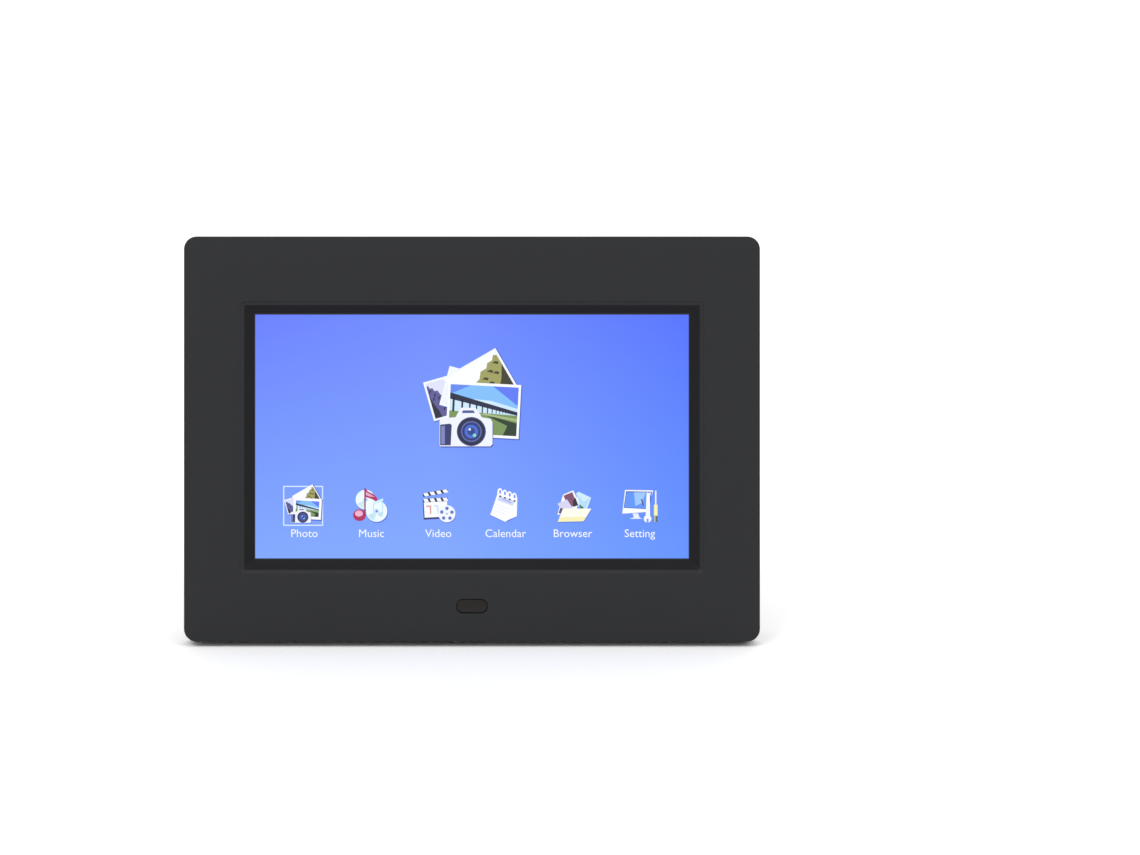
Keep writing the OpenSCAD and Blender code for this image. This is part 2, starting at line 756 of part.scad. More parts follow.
module ribbon_connectors() color(ivory) lean() {
    on_board([3, screen_plug_at]) block(0, board_y1, 0, [socket_h[1], socket_h[0], screen_cable_w + 2]);
    on_board([3, key_plug_at]) block(0, board_y1, 0, [socket_h[1], socket_h[0], key_cable_w + 1]);
}

module wire_connectors() color(ivory) lean() {
    for (x = wire_plug_x) on_board([x, wire_plug_size[2] / 2]) block(0, board_y1, 0, wire_plug_size);
}

module coin_cell_holder() color(chip) lean() on_board(cell_at) difference() {
    block(0, board_y1, 0, [cell_size[0] + 2, holder_t, cell_size[0] / 2]);
    peg(0, 0, cell_size[0] / 2 + fit, board_y1 + cell_lift, board_y1 + 2 * cell_size[1]);
}

module coin_cell() color(steel) lean() on_board(cell_at) {
    peg(0, 0, cell_size[0] / 2, board_y1 + cell_lift, board_y1 + cell_lift + cell_size[1]);
}

// A shell of one port, open at its mouth
module port_box(at, size, shell) {
    difference() {
        block(mouth_x - size[0] / 2, board_y1, board_z0 + at, size);
        block(mouth_x - size[0] / 2 + over, board_y1 + shell, board_z0 + at,
            [size[0], size[1] - 2 * shell, size[2] - 2 * shell]);
    }
}

module usb_port() color(steel) lean() port_box(usb_at, usb_size, port_shell);

module usb_tongue() color(ivory) lean() {
    translate([mouth_x - usb_size[0] + over, board_y1 + usb_size[1] / 2, board_z0 + usb_at])
        block(usb_size[0] / 2 - over, 0, 0, [usb_size[0] - 2 * over, tongue_t[0], usb_size[2] - 2 * over]);
}

module mini_usb_port() color(steel) lean() {
    port_box(mini_at, mini_size, port_shell);
    block(mouth_x - mini_size[0] / 2, board_y1 + mini_size[1] / 2, board_z0 + mini_at,
        [mini_size[0] - over, tongue_t[1], mini_size[2] / 2]);
}

module card_slot() color(steel) lean() port_box(card_at, card_size, port_shell);

// A jack's body with the barrel that reaches through the wall
module jack(at, size, d) {
    translate([mouth_x, board_y1, board_z0 + at]) difference() {
        union() {
            block(-barrel_l - size[0] / 2, 0, 0, size);
            translate([-barrel_l - over, size[1] / 2, 0]) rotate([0, 90, 0])
                cylinder(r = d[0] / 2, h = barrel_l + over);
        }
        translate([-barrel_l - size[0] + over, size[1] / 2, 0]) rotate([0, 90, 0])
            cylinder(r = d[1] / 2, h = 2 * size[0]);
    }
}

module headphone_jack() color(chip) lean() jack(jack_at, jack_size, jack_d);

module dc_jack() color(chip) lean() jack(power_at, power_size, power_d);

module dc_jack_pin() color(steel) lean() {
    translate([mouth_x - barrel_l - power_size[0] + over, board_y1 + power_size[1] / 2, board_z0 + power_at])
        rotate([0, 90, 0]) cylinder(r = power_d[2] / 2, h = power_size[0] + barrel_l - 2 * over);
}

module board_screws() color(steel) lean() {
    for (at = board_holes) on_board(at) screw(0, 0, small_screw_d, head_h[1], board_y0, bite, 1);
    for (x = key_board_holes()) screw(x, keys_z, small_screw_d, head_h[1], key_board_y, bite, 1);
}

// ---- Keys ----

module key_board() color(green) lean() difference() {
    block(keys_x, key_board_y, keys_z, key_board_size);
    for (x = key_board_holes()) {
        peg(x, keys_z, small_r + fit, key_board_y - over, key_board_y + key_board_size[1] + over);
    }
}

module key_switches() color(chip) lean() {
    for (i = [-3:3]) block(keys_x + i * key_pitch, switch_y, keys_z, switch_size);
}

module key_ribbon() color(amber) lean() {
    flat_cable(keys_x + key_board_size[0] / 2 - 6, board_x0 + 1, key_board_y - cable_t, board_y1,
        board_z0 + key_plug_at - key_cable_w / 2, key_cable_w);
}

// Key number i, counted from the middle one
module key(i) color([0.28, 0.28, 0.29]) lean() translate([keys_x + i * key_pitch, 0, keys_z]) {
    plate(flange_y, key_top - edge) oval(key_size[0], key_size[1]);
    plate(key_top - edge, key_top) oval(key_size[0] - edge, key_size[1] - edge);
    plate(flange_y - key_flange[1], flange_y)
        oval(key_size[0] + 2 * key_flange[0] + key_gap, key_size[1] + 2 * key_flange[0] + key_gap);
    peg(0, 0, plunger_r, plunger_y, flange_y);
}

module key_power() key(-3);

module key_menu() key(-2);

module key_exit() key(-1);

module key_left() key(0);

module key_right() key(1);

module key_up() key(2);

module key_down() key(3);

// ---- Sound ----

module at_speakers() {
    lean() for (x = [-1, 1]) translate([x * speaker_x, speaker_y, speaker_z]) rotate([-90, 0, 0])
        rotate_extrude() children();
}

module speaker_baskets() color(chip) at_speakers() {
    deep = speaker_size[1];
    floor_r = magnet_size[0] / 2;
    polygon([[floor_r - over, 0], [floor_r + over, 0], [speaker_r, deep - over], [speaker_r, deep],
        [speaker_r - rim_w, deep], [speaker_r - rim_w, deep - over], [floor_r, basket_t],
        [floor_r - over, basket_t]]);
}

module speaker_cones() color([0.25, 0.23, 0.2]) at_speakers() {
    deep = speaker_size[1] - over;
    rim = speaker_r - rim_w - fit;
    hub_y = basket_t + hub_up;
    polygon([[0, hub_y], [hub_r, hub_y], [rim - rim_w, deep - cone_t], [rim - cone_t, deep - cone_t],
        [rim, deep], [rim - rim_w - fit, deep], [hub_r, hub_y + cone_t], [0, hub_y + cone_t]]);
}

module speaker_magnets() color(steel) at_speakers() {
    square_from(magnet_size[0] / 2, -magnet_size[1], 0);
    square_from(hub_r, 0, basket_t + pole_up);
}

module square_from(r, low, high) {
    translate([0, low]) square([r, high - low]);
}

module speaker_gaskets() color(chip) at_speakers() {
    translate([speaker_r - rim_w, speaker_size[1]]) square([rim_w, gasket_t]);
}

module speaker_wires() color([0.15, 0.15, 0.15]) lean() {
    inner_x = speaker_x - speaker_r + 4;
    left_x = board_x0 + wire_plug_x[0] - plug_x;
    right_x = board_x0 + wire_plug_x[0] + plug_x;
    start_y = speaker_y + 0.9;
    start_z = speaker_z + 6;
    cord([[-inner_x, start_y, start_z], [-inner_x, start_y - 2, start_z], [-40, slack_y + 2, board_z0 - 3],
        [-6, slack_y + 1.6, board_z0 - 2], [left_x - 14, slack_y + 1.6, board_z0 - 4],
        [left_x, plug_y, board_z0 - 1.5], [left_x, plug_y, board_z0]]);
    cord([[inner_x, start_y, start_z], [inner_x, start_y - 2.4, start_z],
        [inner_x - 9, plug_y + 1, board_z0 - 6], [right_x, plug_y, board_z0 - 1.5],
        [right_x, plug_y, board_z0]]);
}

// ---- Infrared receiver and status light ----

module ir_board() color(green) lean() difference() {
    block(0, ir_y, window_z, [ir_board_size[0], ir_board_size[1], ir_board_h]);
    for (x = [-1, 1]) peg(x * ir_hole_x, window_z, small_r + fit, ir_y - over, ir_y + 2 * over);
}

module ir_receiver() color(chip) lean() translate([ir_part_x, 0, window_z]) {
    block(0, ir_y - ir_case[1], 0, ir_case);
    translate([0, ir_y - ir_case[1], 0]) sphere(ir_lens_r);
}

module status_led() color([0.8, 0.2, 0.15]) lean() translate([-ir_part_x, 0, window_z]) {
    peg(0, 0, led_r, ir_y - ir_case[1], ir_y);
    translate([0, ir_y - ir_case[1], 0]) sphere(led_r);
    peg(0, 0, led_collar[0], ir_y - led_collar[1], ir_y);
}

module ir_wires() color([0.9, 0.9, 0.85]) lean() {
    x = board_x0 + wire_plug_x[1] - plug_x;
    start_y = ir_y + ir_board_size[1];
    cord([[7, start_y, window_z + 2], [7, start_y + 1.4, window_z + 2],
        [7, slack_y, screen_z - module_h / 2 - 1], [x - 5, slack_y, board_z0 - 8],
        [x, plug_y, board_z0 - 2], [x, plug_y, board_z0]]);
}

// ---- Fixings and stand ----

module case_screws() color(steel) lean() {
    for (x = [-1, 1], z = case_z) {
        screw(x * case_x, z, case_screw_d, head_h[0], case_seat + case_floor, bite, -1);
    }
}

module leg_socket() color([0.8, 0.65, 0.3]) lean() at_socket($portrait) rotate_extrude() {
    translate([socket_r, -insert_l]) square([insert_wall, insert_l]);
    translate([socket_r, -well_floor - insert_flange[1]])
        square([insert_wall + insert_flange[0], insert_flange[1]]);
}

module leg_socket_landscape() {
    $portrait = false;
    leg_socket();
}

module leg_socket_portrait() {
    $portrait = true;
    leg_socket();
}

// Radius of the leg at distance s from its tip
function leg_r(s) = tip_r + (leg_base_d / 2 - tip_r) * pow(max(s - leg_even, 0) / (leg_l - leg_even), 2);

module leg() color(black) lean() at_socket(false) rotate_extrude() polygon(concat(
    [[0, -thread_l], [thread_r - edge, -thread_l], [thread_r, edge - thread_l], [thread_r, 0],
        [leg_r(leg_l) - edge, 0]],
    [for (i = [0:20]) let (u = edge + i / 20 * (reach - edge)) [leg_r(leg_l - u), u]],
    [for (a = [10:10:90]) [tip_r * cos(a), reach + tip_r * sin(a)]]));

front_bezel();
rear_cover();
ir_window();
rating_label();
lcd_gasket();
lcd_front_frame();
lcd_panel();
lcd_film_stack();
lcd_light_guide();
lcd_reflector();
lcd_mid_frame();
lcd_led_strip();
lcd_back_plate();
lcd_brackets();
bezel_screws();
lcd_ribbon();
backlight_wires();
mainboard();
processor();
memory_chip();
flash_chip();
crystal();
capacitors();
inductors();
ribbon_connectors();
wire_connectors();
coin_cell_holder();
coin_cell();
usb_port();
usb_tongue();
mini_usb_port();
card_slot();
headphone_jack();
dc_jack();
dc_jack_pin();
board_screws();
key_board();
key_switches();
key_ribbon();
key_power();
key_menu();
key_exit();
key_left();
key_right();
key_up();
key_down();
speaker_baskets();
speaker_cones();
speaker_magnets();
speaker_gaskets();
speaker_wires();
ir_board();
ir_receiver();
status_led();
ir_wires();
case_screws();
leg_socket_landscape();
leg_socket_portrait();
leg();
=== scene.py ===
import json
import math

import bmesh
import bpy
from mathutils import Matrix, Vector


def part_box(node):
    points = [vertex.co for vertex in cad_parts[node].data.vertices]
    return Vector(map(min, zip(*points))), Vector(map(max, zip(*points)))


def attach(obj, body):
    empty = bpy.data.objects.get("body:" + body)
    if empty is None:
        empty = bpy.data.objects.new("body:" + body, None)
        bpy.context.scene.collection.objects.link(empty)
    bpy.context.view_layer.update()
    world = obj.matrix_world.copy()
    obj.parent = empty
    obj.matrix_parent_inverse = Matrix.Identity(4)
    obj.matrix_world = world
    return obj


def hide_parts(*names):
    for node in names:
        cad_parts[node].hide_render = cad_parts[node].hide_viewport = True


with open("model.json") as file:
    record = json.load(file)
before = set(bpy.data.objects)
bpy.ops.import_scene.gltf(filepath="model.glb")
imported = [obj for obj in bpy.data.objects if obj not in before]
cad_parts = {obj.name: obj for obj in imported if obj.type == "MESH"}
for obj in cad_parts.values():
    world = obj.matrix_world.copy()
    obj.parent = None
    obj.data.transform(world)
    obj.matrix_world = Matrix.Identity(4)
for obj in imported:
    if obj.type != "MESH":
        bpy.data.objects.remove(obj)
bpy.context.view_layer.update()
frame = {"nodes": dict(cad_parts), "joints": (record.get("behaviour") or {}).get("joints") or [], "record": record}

# ---- How the frame stands ----
# The frame leans back on its leg. Every piece is drawn upright, in millimetres:
# x to the right, y back from the front face, z up from the bottom edge.
MM = 0.001
FRAME_H = 143.5
KEYHOLE = Vector((-50, 24, 98))
mounts = {m["name"]: m for m in frame["record"]["mounts"]}
press = next(j["axis"] for j in frame["joints"] if j["name"] == "press_power")
LEAN = math.atan2(press[2], -press[1])
TIP = Matrix.Rotation(-LEAN, 4, "X")
FOOT = Vector(mounts["wall_keyhole_left"]["pos_m"]) - TIP @ (KEYHOLE * MM)
STAND = Matrix.Translation(FOOT) @ TIP @ Matrix.Scale(MM, 4)
FRAME_W = (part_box("front_bezel")[1][0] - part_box("front_bezel")[0][0]) / MM

# ---- Camera ----
# It looks straight at the leaning face, so the bezel stays a true rectangle, from
# far enough for a long lens; the frame sits a little left of the middle.
VIEW_W = 403.5
LENS = 90
SENSOR = 36
FRAMING = (0.086, 0.0101)
camera_data = bpy.data.cameras.new("camera")
camera_data.lens = LENS
camera_data.sensor_width = SENSOR
camera_data.shift_x, camera_data.shift_y = FRAMING
camera = bpy.data.objects.new("camera", camera_data)
camera.location = STAND @ Vector((0, -VIEW_W * LENS / SENSOR, FRAME_H / 2))
camera.rotation_euler = (math.pi / 2 - LEAN, 0, 0)
bpy.context.scene.collection.objects.link(camera)
bpy.context.scene.camera = camera


# ---- Front bezel ----
# One moulding in black ABS with a fine spark-eroded grain. A sunk border with
# mitred corners drops to the screen, and a slot below it holds the window.
BEZEL_D = 8
BEZEL_WALL = 2.2
OUTER_R = 4.5
PICTURE_W, PICTURE_H, PICTURE_Z = 154, 86.6, FRAME_H / 2 + 0.9
REVEAL = 0.5
BORDER_SIDE, BORDER_TOP, BORDER_BOTTOM, BORDER_D = 4.7, 4.0, 5.1, 3.3
WINDOW_W, WINDOW_H, WINDOW_Z, WINDOW_GAP = 10.8, 4.6, 12.6, 0.3
CORNER_STEPS = 8
BEZEL_SHARP = 24
CASE_SCREWS = [(x, z) for x in (-85, 85) for z in (16.75, 126.75)]
BRACKETS = [(x, PICTURE_Z + z) for x in (-83, 83) for z in (-34, 34)]


def rounded_outline(mesh, width, height, radius, y, z):
    """The edges of one rounded rectangle that faces forward at depth y."""
    verts = bmesh.ops.create_grid(mesh, x_segments=1, y_segments=1, size=0.5)["verts"]
    bmesh.ops.scale(mesh, vec=(width, height, 1), verts=verts)
    bmesh.ops.rotate(mesh, matrix=Matrix.Rotation(math.pi / 2, 3, "X"), verts=verts)
    bmesh.ops.translate(mesh, vec=(0, y, z), verts=verts)
    rounded = bmesh.ops.bevel(mesh, geom=verts, offset=radius, offset_type="OFFSET", segments=CORNER_STEPS,
                              profile=0.5, affect="VERTICES", material=-1)
    face = rounded["verts"][0].link_faces[0]
    edges = list(face.edges)
    bmesh.ops.delete(mesh, geom=[face], context="FACES_ONLY")
    return edges


def border_outline(mesh, drop, radius, y):
    """An outline in the sunk border: drop is 0 at its outer edge and 1 at the opening."""
    left = 1 - drop
    width = PICTURE_W + 2 * REVEAL + 2 * BORDER_SIDE * left
    top = PICTURE_H / 2 + REVEAL + BORDER_TOP * left
    bottom = PICTURE_H / 2 + REVEAL + BORDER_BOTTOM * left
    return rounded_outline(mesh, width, top + bottom, radius, y, PICTURE_Z + (top - bottom) / 2)


def band(mesh, outlines, closed=False):
    """Skins one outline to the next, and the last back to the first where closed."""
    pairs = list(zip(outlines, outlines[1:]))
    if closed:
        pairs.append((outlines[-1], outlines[0]))
    for first, second in pairs:
        bmesh.ops.bridge_loops(mesh, edges=first + second)


def capped(mesh, outlines):
    """Skins a row of outlines into a solid, with a face at each end."""
    band(mesh, outlines)
    for end in (outlines[0], outlines[-1]):
        bmesh.ops.contextual_create(mesh, geom=end)


def finished(name, mesh, material, body, slot_name, *nodes, sharp=32):
    """Stands a drawn mesh in its place as one piece, in place of its CAD nodes."""
    bmesh.ops.transform(mesh, matrix=STAND, verts=mesh.verts)
    data = bpy.data.meshes.new(name)
    mesh.to_mesh(data)
    mesh.free()
    data.shade_smooth()
    data.set_sharp_from_angle(angle=math.radians(sharp))
    data.materials.append(material)
    piece = bpy.data.objects.new(name, data)
    bpy.context.scene.collection.objects.link(piece)
    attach(piece, body)
    if nodes:
        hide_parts(*nodes)
    return piece


def start_material(name):
    """A new material with its shader, and the upright millimetres that patterns are drawn in."""
    material = bpy.data.materials.new(name)
    material.use_nodes = True
    tree = material.node_tree
    shader = tree.nodes["Principled BSDF"]
    place = tree.nodes.new("ShaderNodeTexCoord").outputs["Object"]
    upright = tree.nodes.new("ShaderNodeMapping")
    upright.inputs["Scale"].default_value = (1 / MM, 1 / MM, 1 / MM)
    upright.inputs["Rotation"].default_value = (LEAN, 0, 0)
    upright.inputs["Location"].default_value = -(TIP.inverted() @ FOOT) / MM
    tree.links.new(place, upright.inputs["Vector"])
    return material, tree, shader, upright.outputs["Vector"]


def noise(tree, place, scale, detail=3.0, rough=0.5):
    node = tree.nodes.new("ShaderNodeTexNoise")
    node.inputs["Scale"].default_value = scale
    node.inputs["Detail"].default_value = detail
    node.inputs["Roughness"].default_value = rough
    tree.links.new(place, node.inputs["Vector"])
    return node.outputs["Fac"]


def shades(tree, factor, *stops):
    """A colour ramp: each stop is (position, (red, green, blue))."""
    ramp = tree.nodes.new("ShaderNodeValToRGB")
    while len(ramp.color_ramp.elements) < len(stops):
        ramp.color_ramp.elements.new(0.5)
    for element, (position, colour) in zip(ramp.color_ramp.elements, stops):
        element.position = position
        element.color = (*colour, 1)
    tree.links.new(factor, ramp.inputs["Fac"])
    return ramp.outputs["Color"]


def spread(tree, factor, low, high, start=0.3, end=0.7):
    """Maps a pattern from start..end onto low..high."""
    node = tree.nodes.new("ShaderNodeMapRange")
    for key, value in (("From Min", start), ("From Max", end), ("To Min", low), ("To Max", high)):
        node.inputs[key].default_value = value
    tree.links.new(factor, node.inputs["Value"])
    return node.outputs["Result"]


def relief(tree, shader, height, depth, strength=1.0):
    """Raises the surface by the pattern, depth in millimetres."""
    bump = tree.nodes.new("ShaderNodeBump")
    bump.inputs["Distance"].default_value = depth * MM
    bump.inputs["Strength"].default_value = strength
    tree.links.new(height, bump.inputs["Height"])
    tree.links.new(bump.outputs["Normal"], shader.inputs["Normal"])


def grained_plastic(name, dark, light, grain, depth, gloss, shine=0.3):
    """Moulded plastic with a spark-eroded grain, a little cloudy in shade and gloss."""
    material, tree, shader, place = start_material(name)
    fine = noise(tree, place, grain, 4, 0.6)
    cloud = noise(tree, place, 0.05, 3)
    tree.links.new(shades(tree, fine, (0.3, dark), (0.7, light)), shader.inputs["Base Color"])
    tree.links.new(spread(tree, cloud, gloss - 0.04, gloss + 0.04), shader.inputs["Roughness"])
    shader.inputs["Specular IOR Level"].default_value = shine
    relief(tree, shader, fine, depth)
    return material


def cut(piece, cutter):
    """Takes the cutter's volume out of a piece for good, then drops the cutter."""
    material = piece.data.materials[0]
    modifier = piece.modifiers.new("cut", "BOOLEAN")
    modifier.operation = "DIFFERENCE"
    modifier.solver = "MANIFOLD"
    modifier.object = cutter
    shaped = piece.evaluated_get(bpy.context.evaluated_depsgraph_get())
    data = bpy.data.meshes.new_from_object(shaped)
    old = piece.data
    piece.modifiers.clear()
    piece.data = data
    data.name = piece.name
    data.materials.clear()
    data.materials.append(material)
    bpy.data.meshes.remove(old)
    bpy.data.objects.remove(cutter)


def as_cutter(mesh, name):
    """A drawn mesh as an object that cut() uses up."""
    bmesh.ops.recalc_face_normals(mesh, faces=mesh.faces)
    bmesh.ops.transform(mesh, matrix=STAND, verts=mesh.verts)
    data = bpy.data.meshes.new(name)
    mesh.to_mesh(data)
    mesh.free()
    cutter = bpy.data.objects.new(name, data)
    bpy.context.scene.collection.objects.link(cutter)
    return cutter


def oval_rod(mesh, width, height, profile, z, x=0):
    """A rod with an oval section along y: the profile gives (depth, inset) from end to end."""
    loops = []
    for y, inset in profile:
        loop = rounded_outline(mesh, width - 2 * inset, height - 2 * inset, height / 2 - inset - 0.001, y, z)
        bmesh.ops.translate(mesh, vec=(x, 0, 0), verts=list({v for e in loop for v in e.verts}))
        loops.append(loop)
    capped(mesh, loops)


def turned(mesh, profile, place, steps=32):
    """A solid turned about +Y: the profile gives (radius, y) from one end to the other."""
    before = set(mesh.verts)
    verts = [mesh.verts.new((radius, y, 0)) for radius, y in profile]
    edges = [mesh.edges.new(pair) for pair in zip(verts, verts[1:])]
    bmesh.ops.spin(mesh, geom=verts + edges, cent=(0, 0, 0), axis=(0, 1, 0), angle=math.tau, steps=steps,
                   use_merge=True)
    made = [v for v in mesh.verts if v not in before]
    bmesh.ops.remove_doubles(mesh, verts=made, dist=0.0001)
    made = [v for v in mesh.verts if v not in before]
    bmesh.ops.transform(mesh, matrix=place, verts=made)


bezel_black = grained_plastic("bezel_black", (0.006, 0.0065, 0.008), (0.011, 0.0115, 0.013), 3.0, 0.01, 0.52)
# A second black for the sunk border: smoother than the face, and darker with less shine, which is painted shade
# for the recess
border_polish_and_shade = grained_plastic("border_polish_and_shade", (0.005, 0.005, 0.006), (0.008, 0.008, 0.009), 2.0, 0.004, 0.34,
                               shine=0.14)
mesh = bmesh.new()
mid = FRAME_H / 2
inner_w, inner_h = FRAME_W - 2 * BEZEL_WALL, FRAME_H - 2 * BEZEL_WALL
rim = []
for inset, y in ((0, BEZEL_D), (0, 0.5), (0.04, 0.3), (0.15, 0.13), (0.3, 0.04), (0.5, 0)):
    rim.append(rounded_outline(mesh, FRAME_W - 2 * inset, FRAME_H - 2 * inset, OUTER_R - inset, y, mid))
for drop, radius, y in ((-0.04, 2.3, 0.01), (0, 2.2, 0.04), (0.03, 2.1, 0.2), (0.07, 1.9, 0.34),
                        (0.32, 0.5, 0.62), (0.36, 0.3, 0.75), (0.88, 0.2, 2.75), (0.91, 0.2, 2.84),
                        (0.98, 0.2, 2.9), (1, 0.2, 2.96), (1, 0.2, BORDER_D), (-0.45, 3, BORDER_D + 0.01),
                        (-0.45, 3, BEZEL_WALL + 0.01)):
    rim.append(border_outline(mesh, drop, radius, y))
for y in (BEZEL_WALL, BEZEL_D - 0.01):
    rim.append(rounded_outline(mesh, inner_w, inner_h, OUTER_R - BEZEL_WALL, y, mid))
band(mesh, rim, closed=True)
bmesh.ops.recalc_face_normals(mesh, faces=mesh.faces)
bezel = finished("bezel_moulding", mesh, bezel_black, "frame", "bezel_plastic", "front_bezel",
                 sharp=BEZEL_SHARP)
mesh = bmesh.new()
oval_rod(mesh, WINDOW_W + 2 * WINDOW_GAP, WINDOW_H + 2 * WINDOW_GAP, ((-1, 0), (BEZEL_WALL + 1, 0)), WINDOW_Z)
cut(bezel, as_cutter(mesh, "window_cutter"))
bezel.data.set_sharp_from_angle(angle=math.radians(BEZEL_SHARP))
# The sunk border gets its own material: a finer grain and less roughness than the face, and a darker colour with
# less shine as painted shade for the recess
bezel.data.materials.append(border_polish_and_shade)
upright = STAND.inverted()
for face in bezel.data.polygons:
    spot = upright @ face.center
    beside = abs(spot.x) < PICTURE_W / 2 + BORDER_SIDE
    level = abs(spot.z - PICTURE_Z) < PICTURE_H / 2 + BORDER_BOTTOM
    if beside and level and 0.55 < spot.y < BORDER_D:
        face.material_index = 1

# The bosses behind the face that the screws bite into: place, outer and inner radius, end
BOSSES = [(x, z, 3.1, 1.5, 10.0) for x, z in CASE_SCREWS]
BOSSES += [(x, z, 2.6, 1.0, 9.4) for x, z in BRACKETS]
BOSSES += [(x, WINDOW_Z, 2.6, 1.0, 6.6) for x in (-10.4, 10.4)]
mesh = bmesh.new()
for x, z, outer, hole, end in BOSSES:
    turned(mesh, ((0, 2.1), (outer, 2.1), (outer, end), (hole, end), (hole, end - 4.2), (0, end - 4.2)),
           Matrix.Translation((x, 0, z)))
bmesh.ops.recalc_face_normals(mesh, faces=mesh.faces)
finished("bezel_bosses", mesh, bezel_black, "frame", "bezel_plastic")

# ---- Lit picture ----
# The liquid crystal panel shows a blue menu: it glows through a matt
# polariser, paler towards the bottom and deeper towards the right.
GLASS_Y = 4.1
LAYER = 0.02


def lit(shader, tree, colour):
    """The surface glows in the given colour and reflects little."""
    shader.inputs["Base Color"].default_value = (0.01, 0.01, 0.012, 1)
    shader.inputs["Roughness"].default_value = 0.38
    shader.inputs["Specular IOR Level"].default_value = 0.3
    shader.inputs["Emission Strength"].default_value = 1.0
    tree.links.new(colour, shader.inputs["Emission Color"])


def linear(red, green, blue):
    """A screen colour, 0 to 255, as light."""
    shares = [c / 255 for c in (red, green, blue)]
    return tuple(c / 12.92 if c <= 0.04 else ((c + 0.055) / 1.055) ** 2.4 for c in shares)


menu_blue, tree, shader, place = start_material("menu_blue")
across = tree.nodes.new("ShaderNodeSeparateXYZ")
tree.links.new(place, across.inputs["Vector"])
along = spread(tree, across.outputs["X"], 0, 1, -PICTURE_W / 2, PICTURE_W / 2)
up = spread(tree, across.outputs["Z"], 0, 1, PICTURE_Z - PICTURE_H / 2, PICTURE_Z + PICTURE_H / 2)
top_blue = shades(tree, along, (0, linear(97, 122, 251)), (0.42, linear(106, 135, 253)),
                  (1, linear(75, 109, 253)))
low_blue = shades(tree, along, (0, linear(123, 164, 255)), (0.42, linear(124, 165, 255)),
                  (1, linear(92, 143, 254)))
blend = tree.nodes.new("ShaderNodeMix")
blend.data_type = "RGBA"
tree.links.new(up, blend.inputs["Factor"])
tree.links.new(low_blue, blend.inputs["A"])
tree.links.new(top_blue, blend.inputs["B"])
lit(shader, tree, blend.outputs["Result"])
mesh = bmesh.new()
capped(mesh, [rounded_outline(mesh, PICTURE_W, PICTURE_H, 0.1, y, PICTURE_Z) for y in (GLASS_Y - LAYER, GLASS_Y)])
bmesh.ops.recalc_face_normals(mesh, faces=mesh.faces)
finished("menu_background", mesh, menu_blue, "frame", "screen_glass")

# ---- Menu pictures ----
# Generic pictograms on the menu: a pile of prints with a camera above, and
# six small signs in a row. Each is a film of colour in front of the glass.
ICON_Z = 48.6
ICON_PITCH = 23.84
LABEL_Z = 38.1
WHITE, INK = (245, 248, 255), (24, 26, 48)
CARD_SHADOW = (66, 88, 190)


def tint_layer(mesh):
    return mesh.loops.layers.float_color.get("tint") or mesh.loops.layers.float_color.new("tint")


def thickened(mesh, face, depth):
    """Gives a flat patch a thickness backwards and returns its new corners."""
    grown = bmesh.ops.extrude_face_region(mesh, geom=[face], use_keep_orig=True)["geom"]
    verts = [g for g in grown if isinstance(g, bmesh.types.BMVert)]
    bmesh.ops.translate(mesh, vec=(0, depth, 0), verts=verts)
    return verts


def film(mesh, points, tint, layer, at=(0, 0), turn=0):
    """A flat patch of one tint, its outline given in millimetres round the point at."""
    paint = tint_layer(mesh)
    spin = Matrix.Rotation(math.radians(turn), 2)
    front = GLASS_Y - LAYER * (layer + 1)
    corners = [spin @ Vector(p) + Vector(at) for p in points]
    face = mesh.faces.new([mesh.verts.new((c.x, front, c.y)) for c in corners])
    verts = thickened(mesh, face, LAYER * 0.9)
    for touched in {f for v in verts for f in v.link_faces} | {face}:
        for loop in touched.loops:
            loop[paint] = (*linear(*tint), 1)


def block_shape(width, height):
    return [(x * width, z * height) for x, z in ((-0.5, -0.5), (0.5, -0.5), (0.5, 0.5), (-0.5, 0.5))]


def disc_shape(radius, steps=20):
    return [(radius * math.cos(math.tau * i / steps), radius * math.sin(math.tau * i / steps))
            for i in range(steps)]


def shifted(points, x, z):
    return [(px + x, pz + z) for px, pz in points]


def print_card(mesh, at, turn, width, height, layer, sky, land, side=1):
    """A photographic print: a white border, a sky and a rough slope of land."""
    film(mesh, shifted(block_shape(width + 0.3, height + 0.3), 0.15, -0.2), CARD_SHADOW, layer - 1, at, turn)
    film(mesh, block_shape(width, height), WHITE, layer, at, turn)
    inner_w, inner_h = width - 0.1 * height, height * 0.9
    film(mesh, block_shape(inner_w, inner_h), sky, layer + 1, at, turn)
    slope = ((0.5, -0.5), (0.5, 0.4), (0.44, 0.44), (0.38, 0.34), (0.28, 0.34), (0.22, 0.24), (0.1, 0.24),
             (0.02, 0.1), (-0.08, 0.06), (-0.16, -0.1), (-0.3, -0.5))
    film(mesh, [(side * inner_w * x, inner_h * z) for x, z in slope], land, layer + 2, at, turn)
    shade = tuple(int(c * 0.35) for c in land)
    hollows = [((0.5, -0.5), (0.5, 0.16), (0.44, 0.02), (0.36, -0.16), (0.26, -0.3), (0.2, -0.5))]
    for x, z in ((0.4, 0.24), (0.24, 0.12), (0.32, 0.02), (0.1, 0.02), (0.16, -0.14), (-0.04, -0.1), (0.0, -0.3)):
        hollows.append(shifted(((0, 0), (-0.05, 0.04), (0.02, 0.05), (0.07, -0.01), (0.03, -0.05)), x, z))
    for hollow in hollows:
        film(mesh, [(side * inner_w * x, inner_h * z) for x, z in hollow], shade, layer + 3, at, turn)


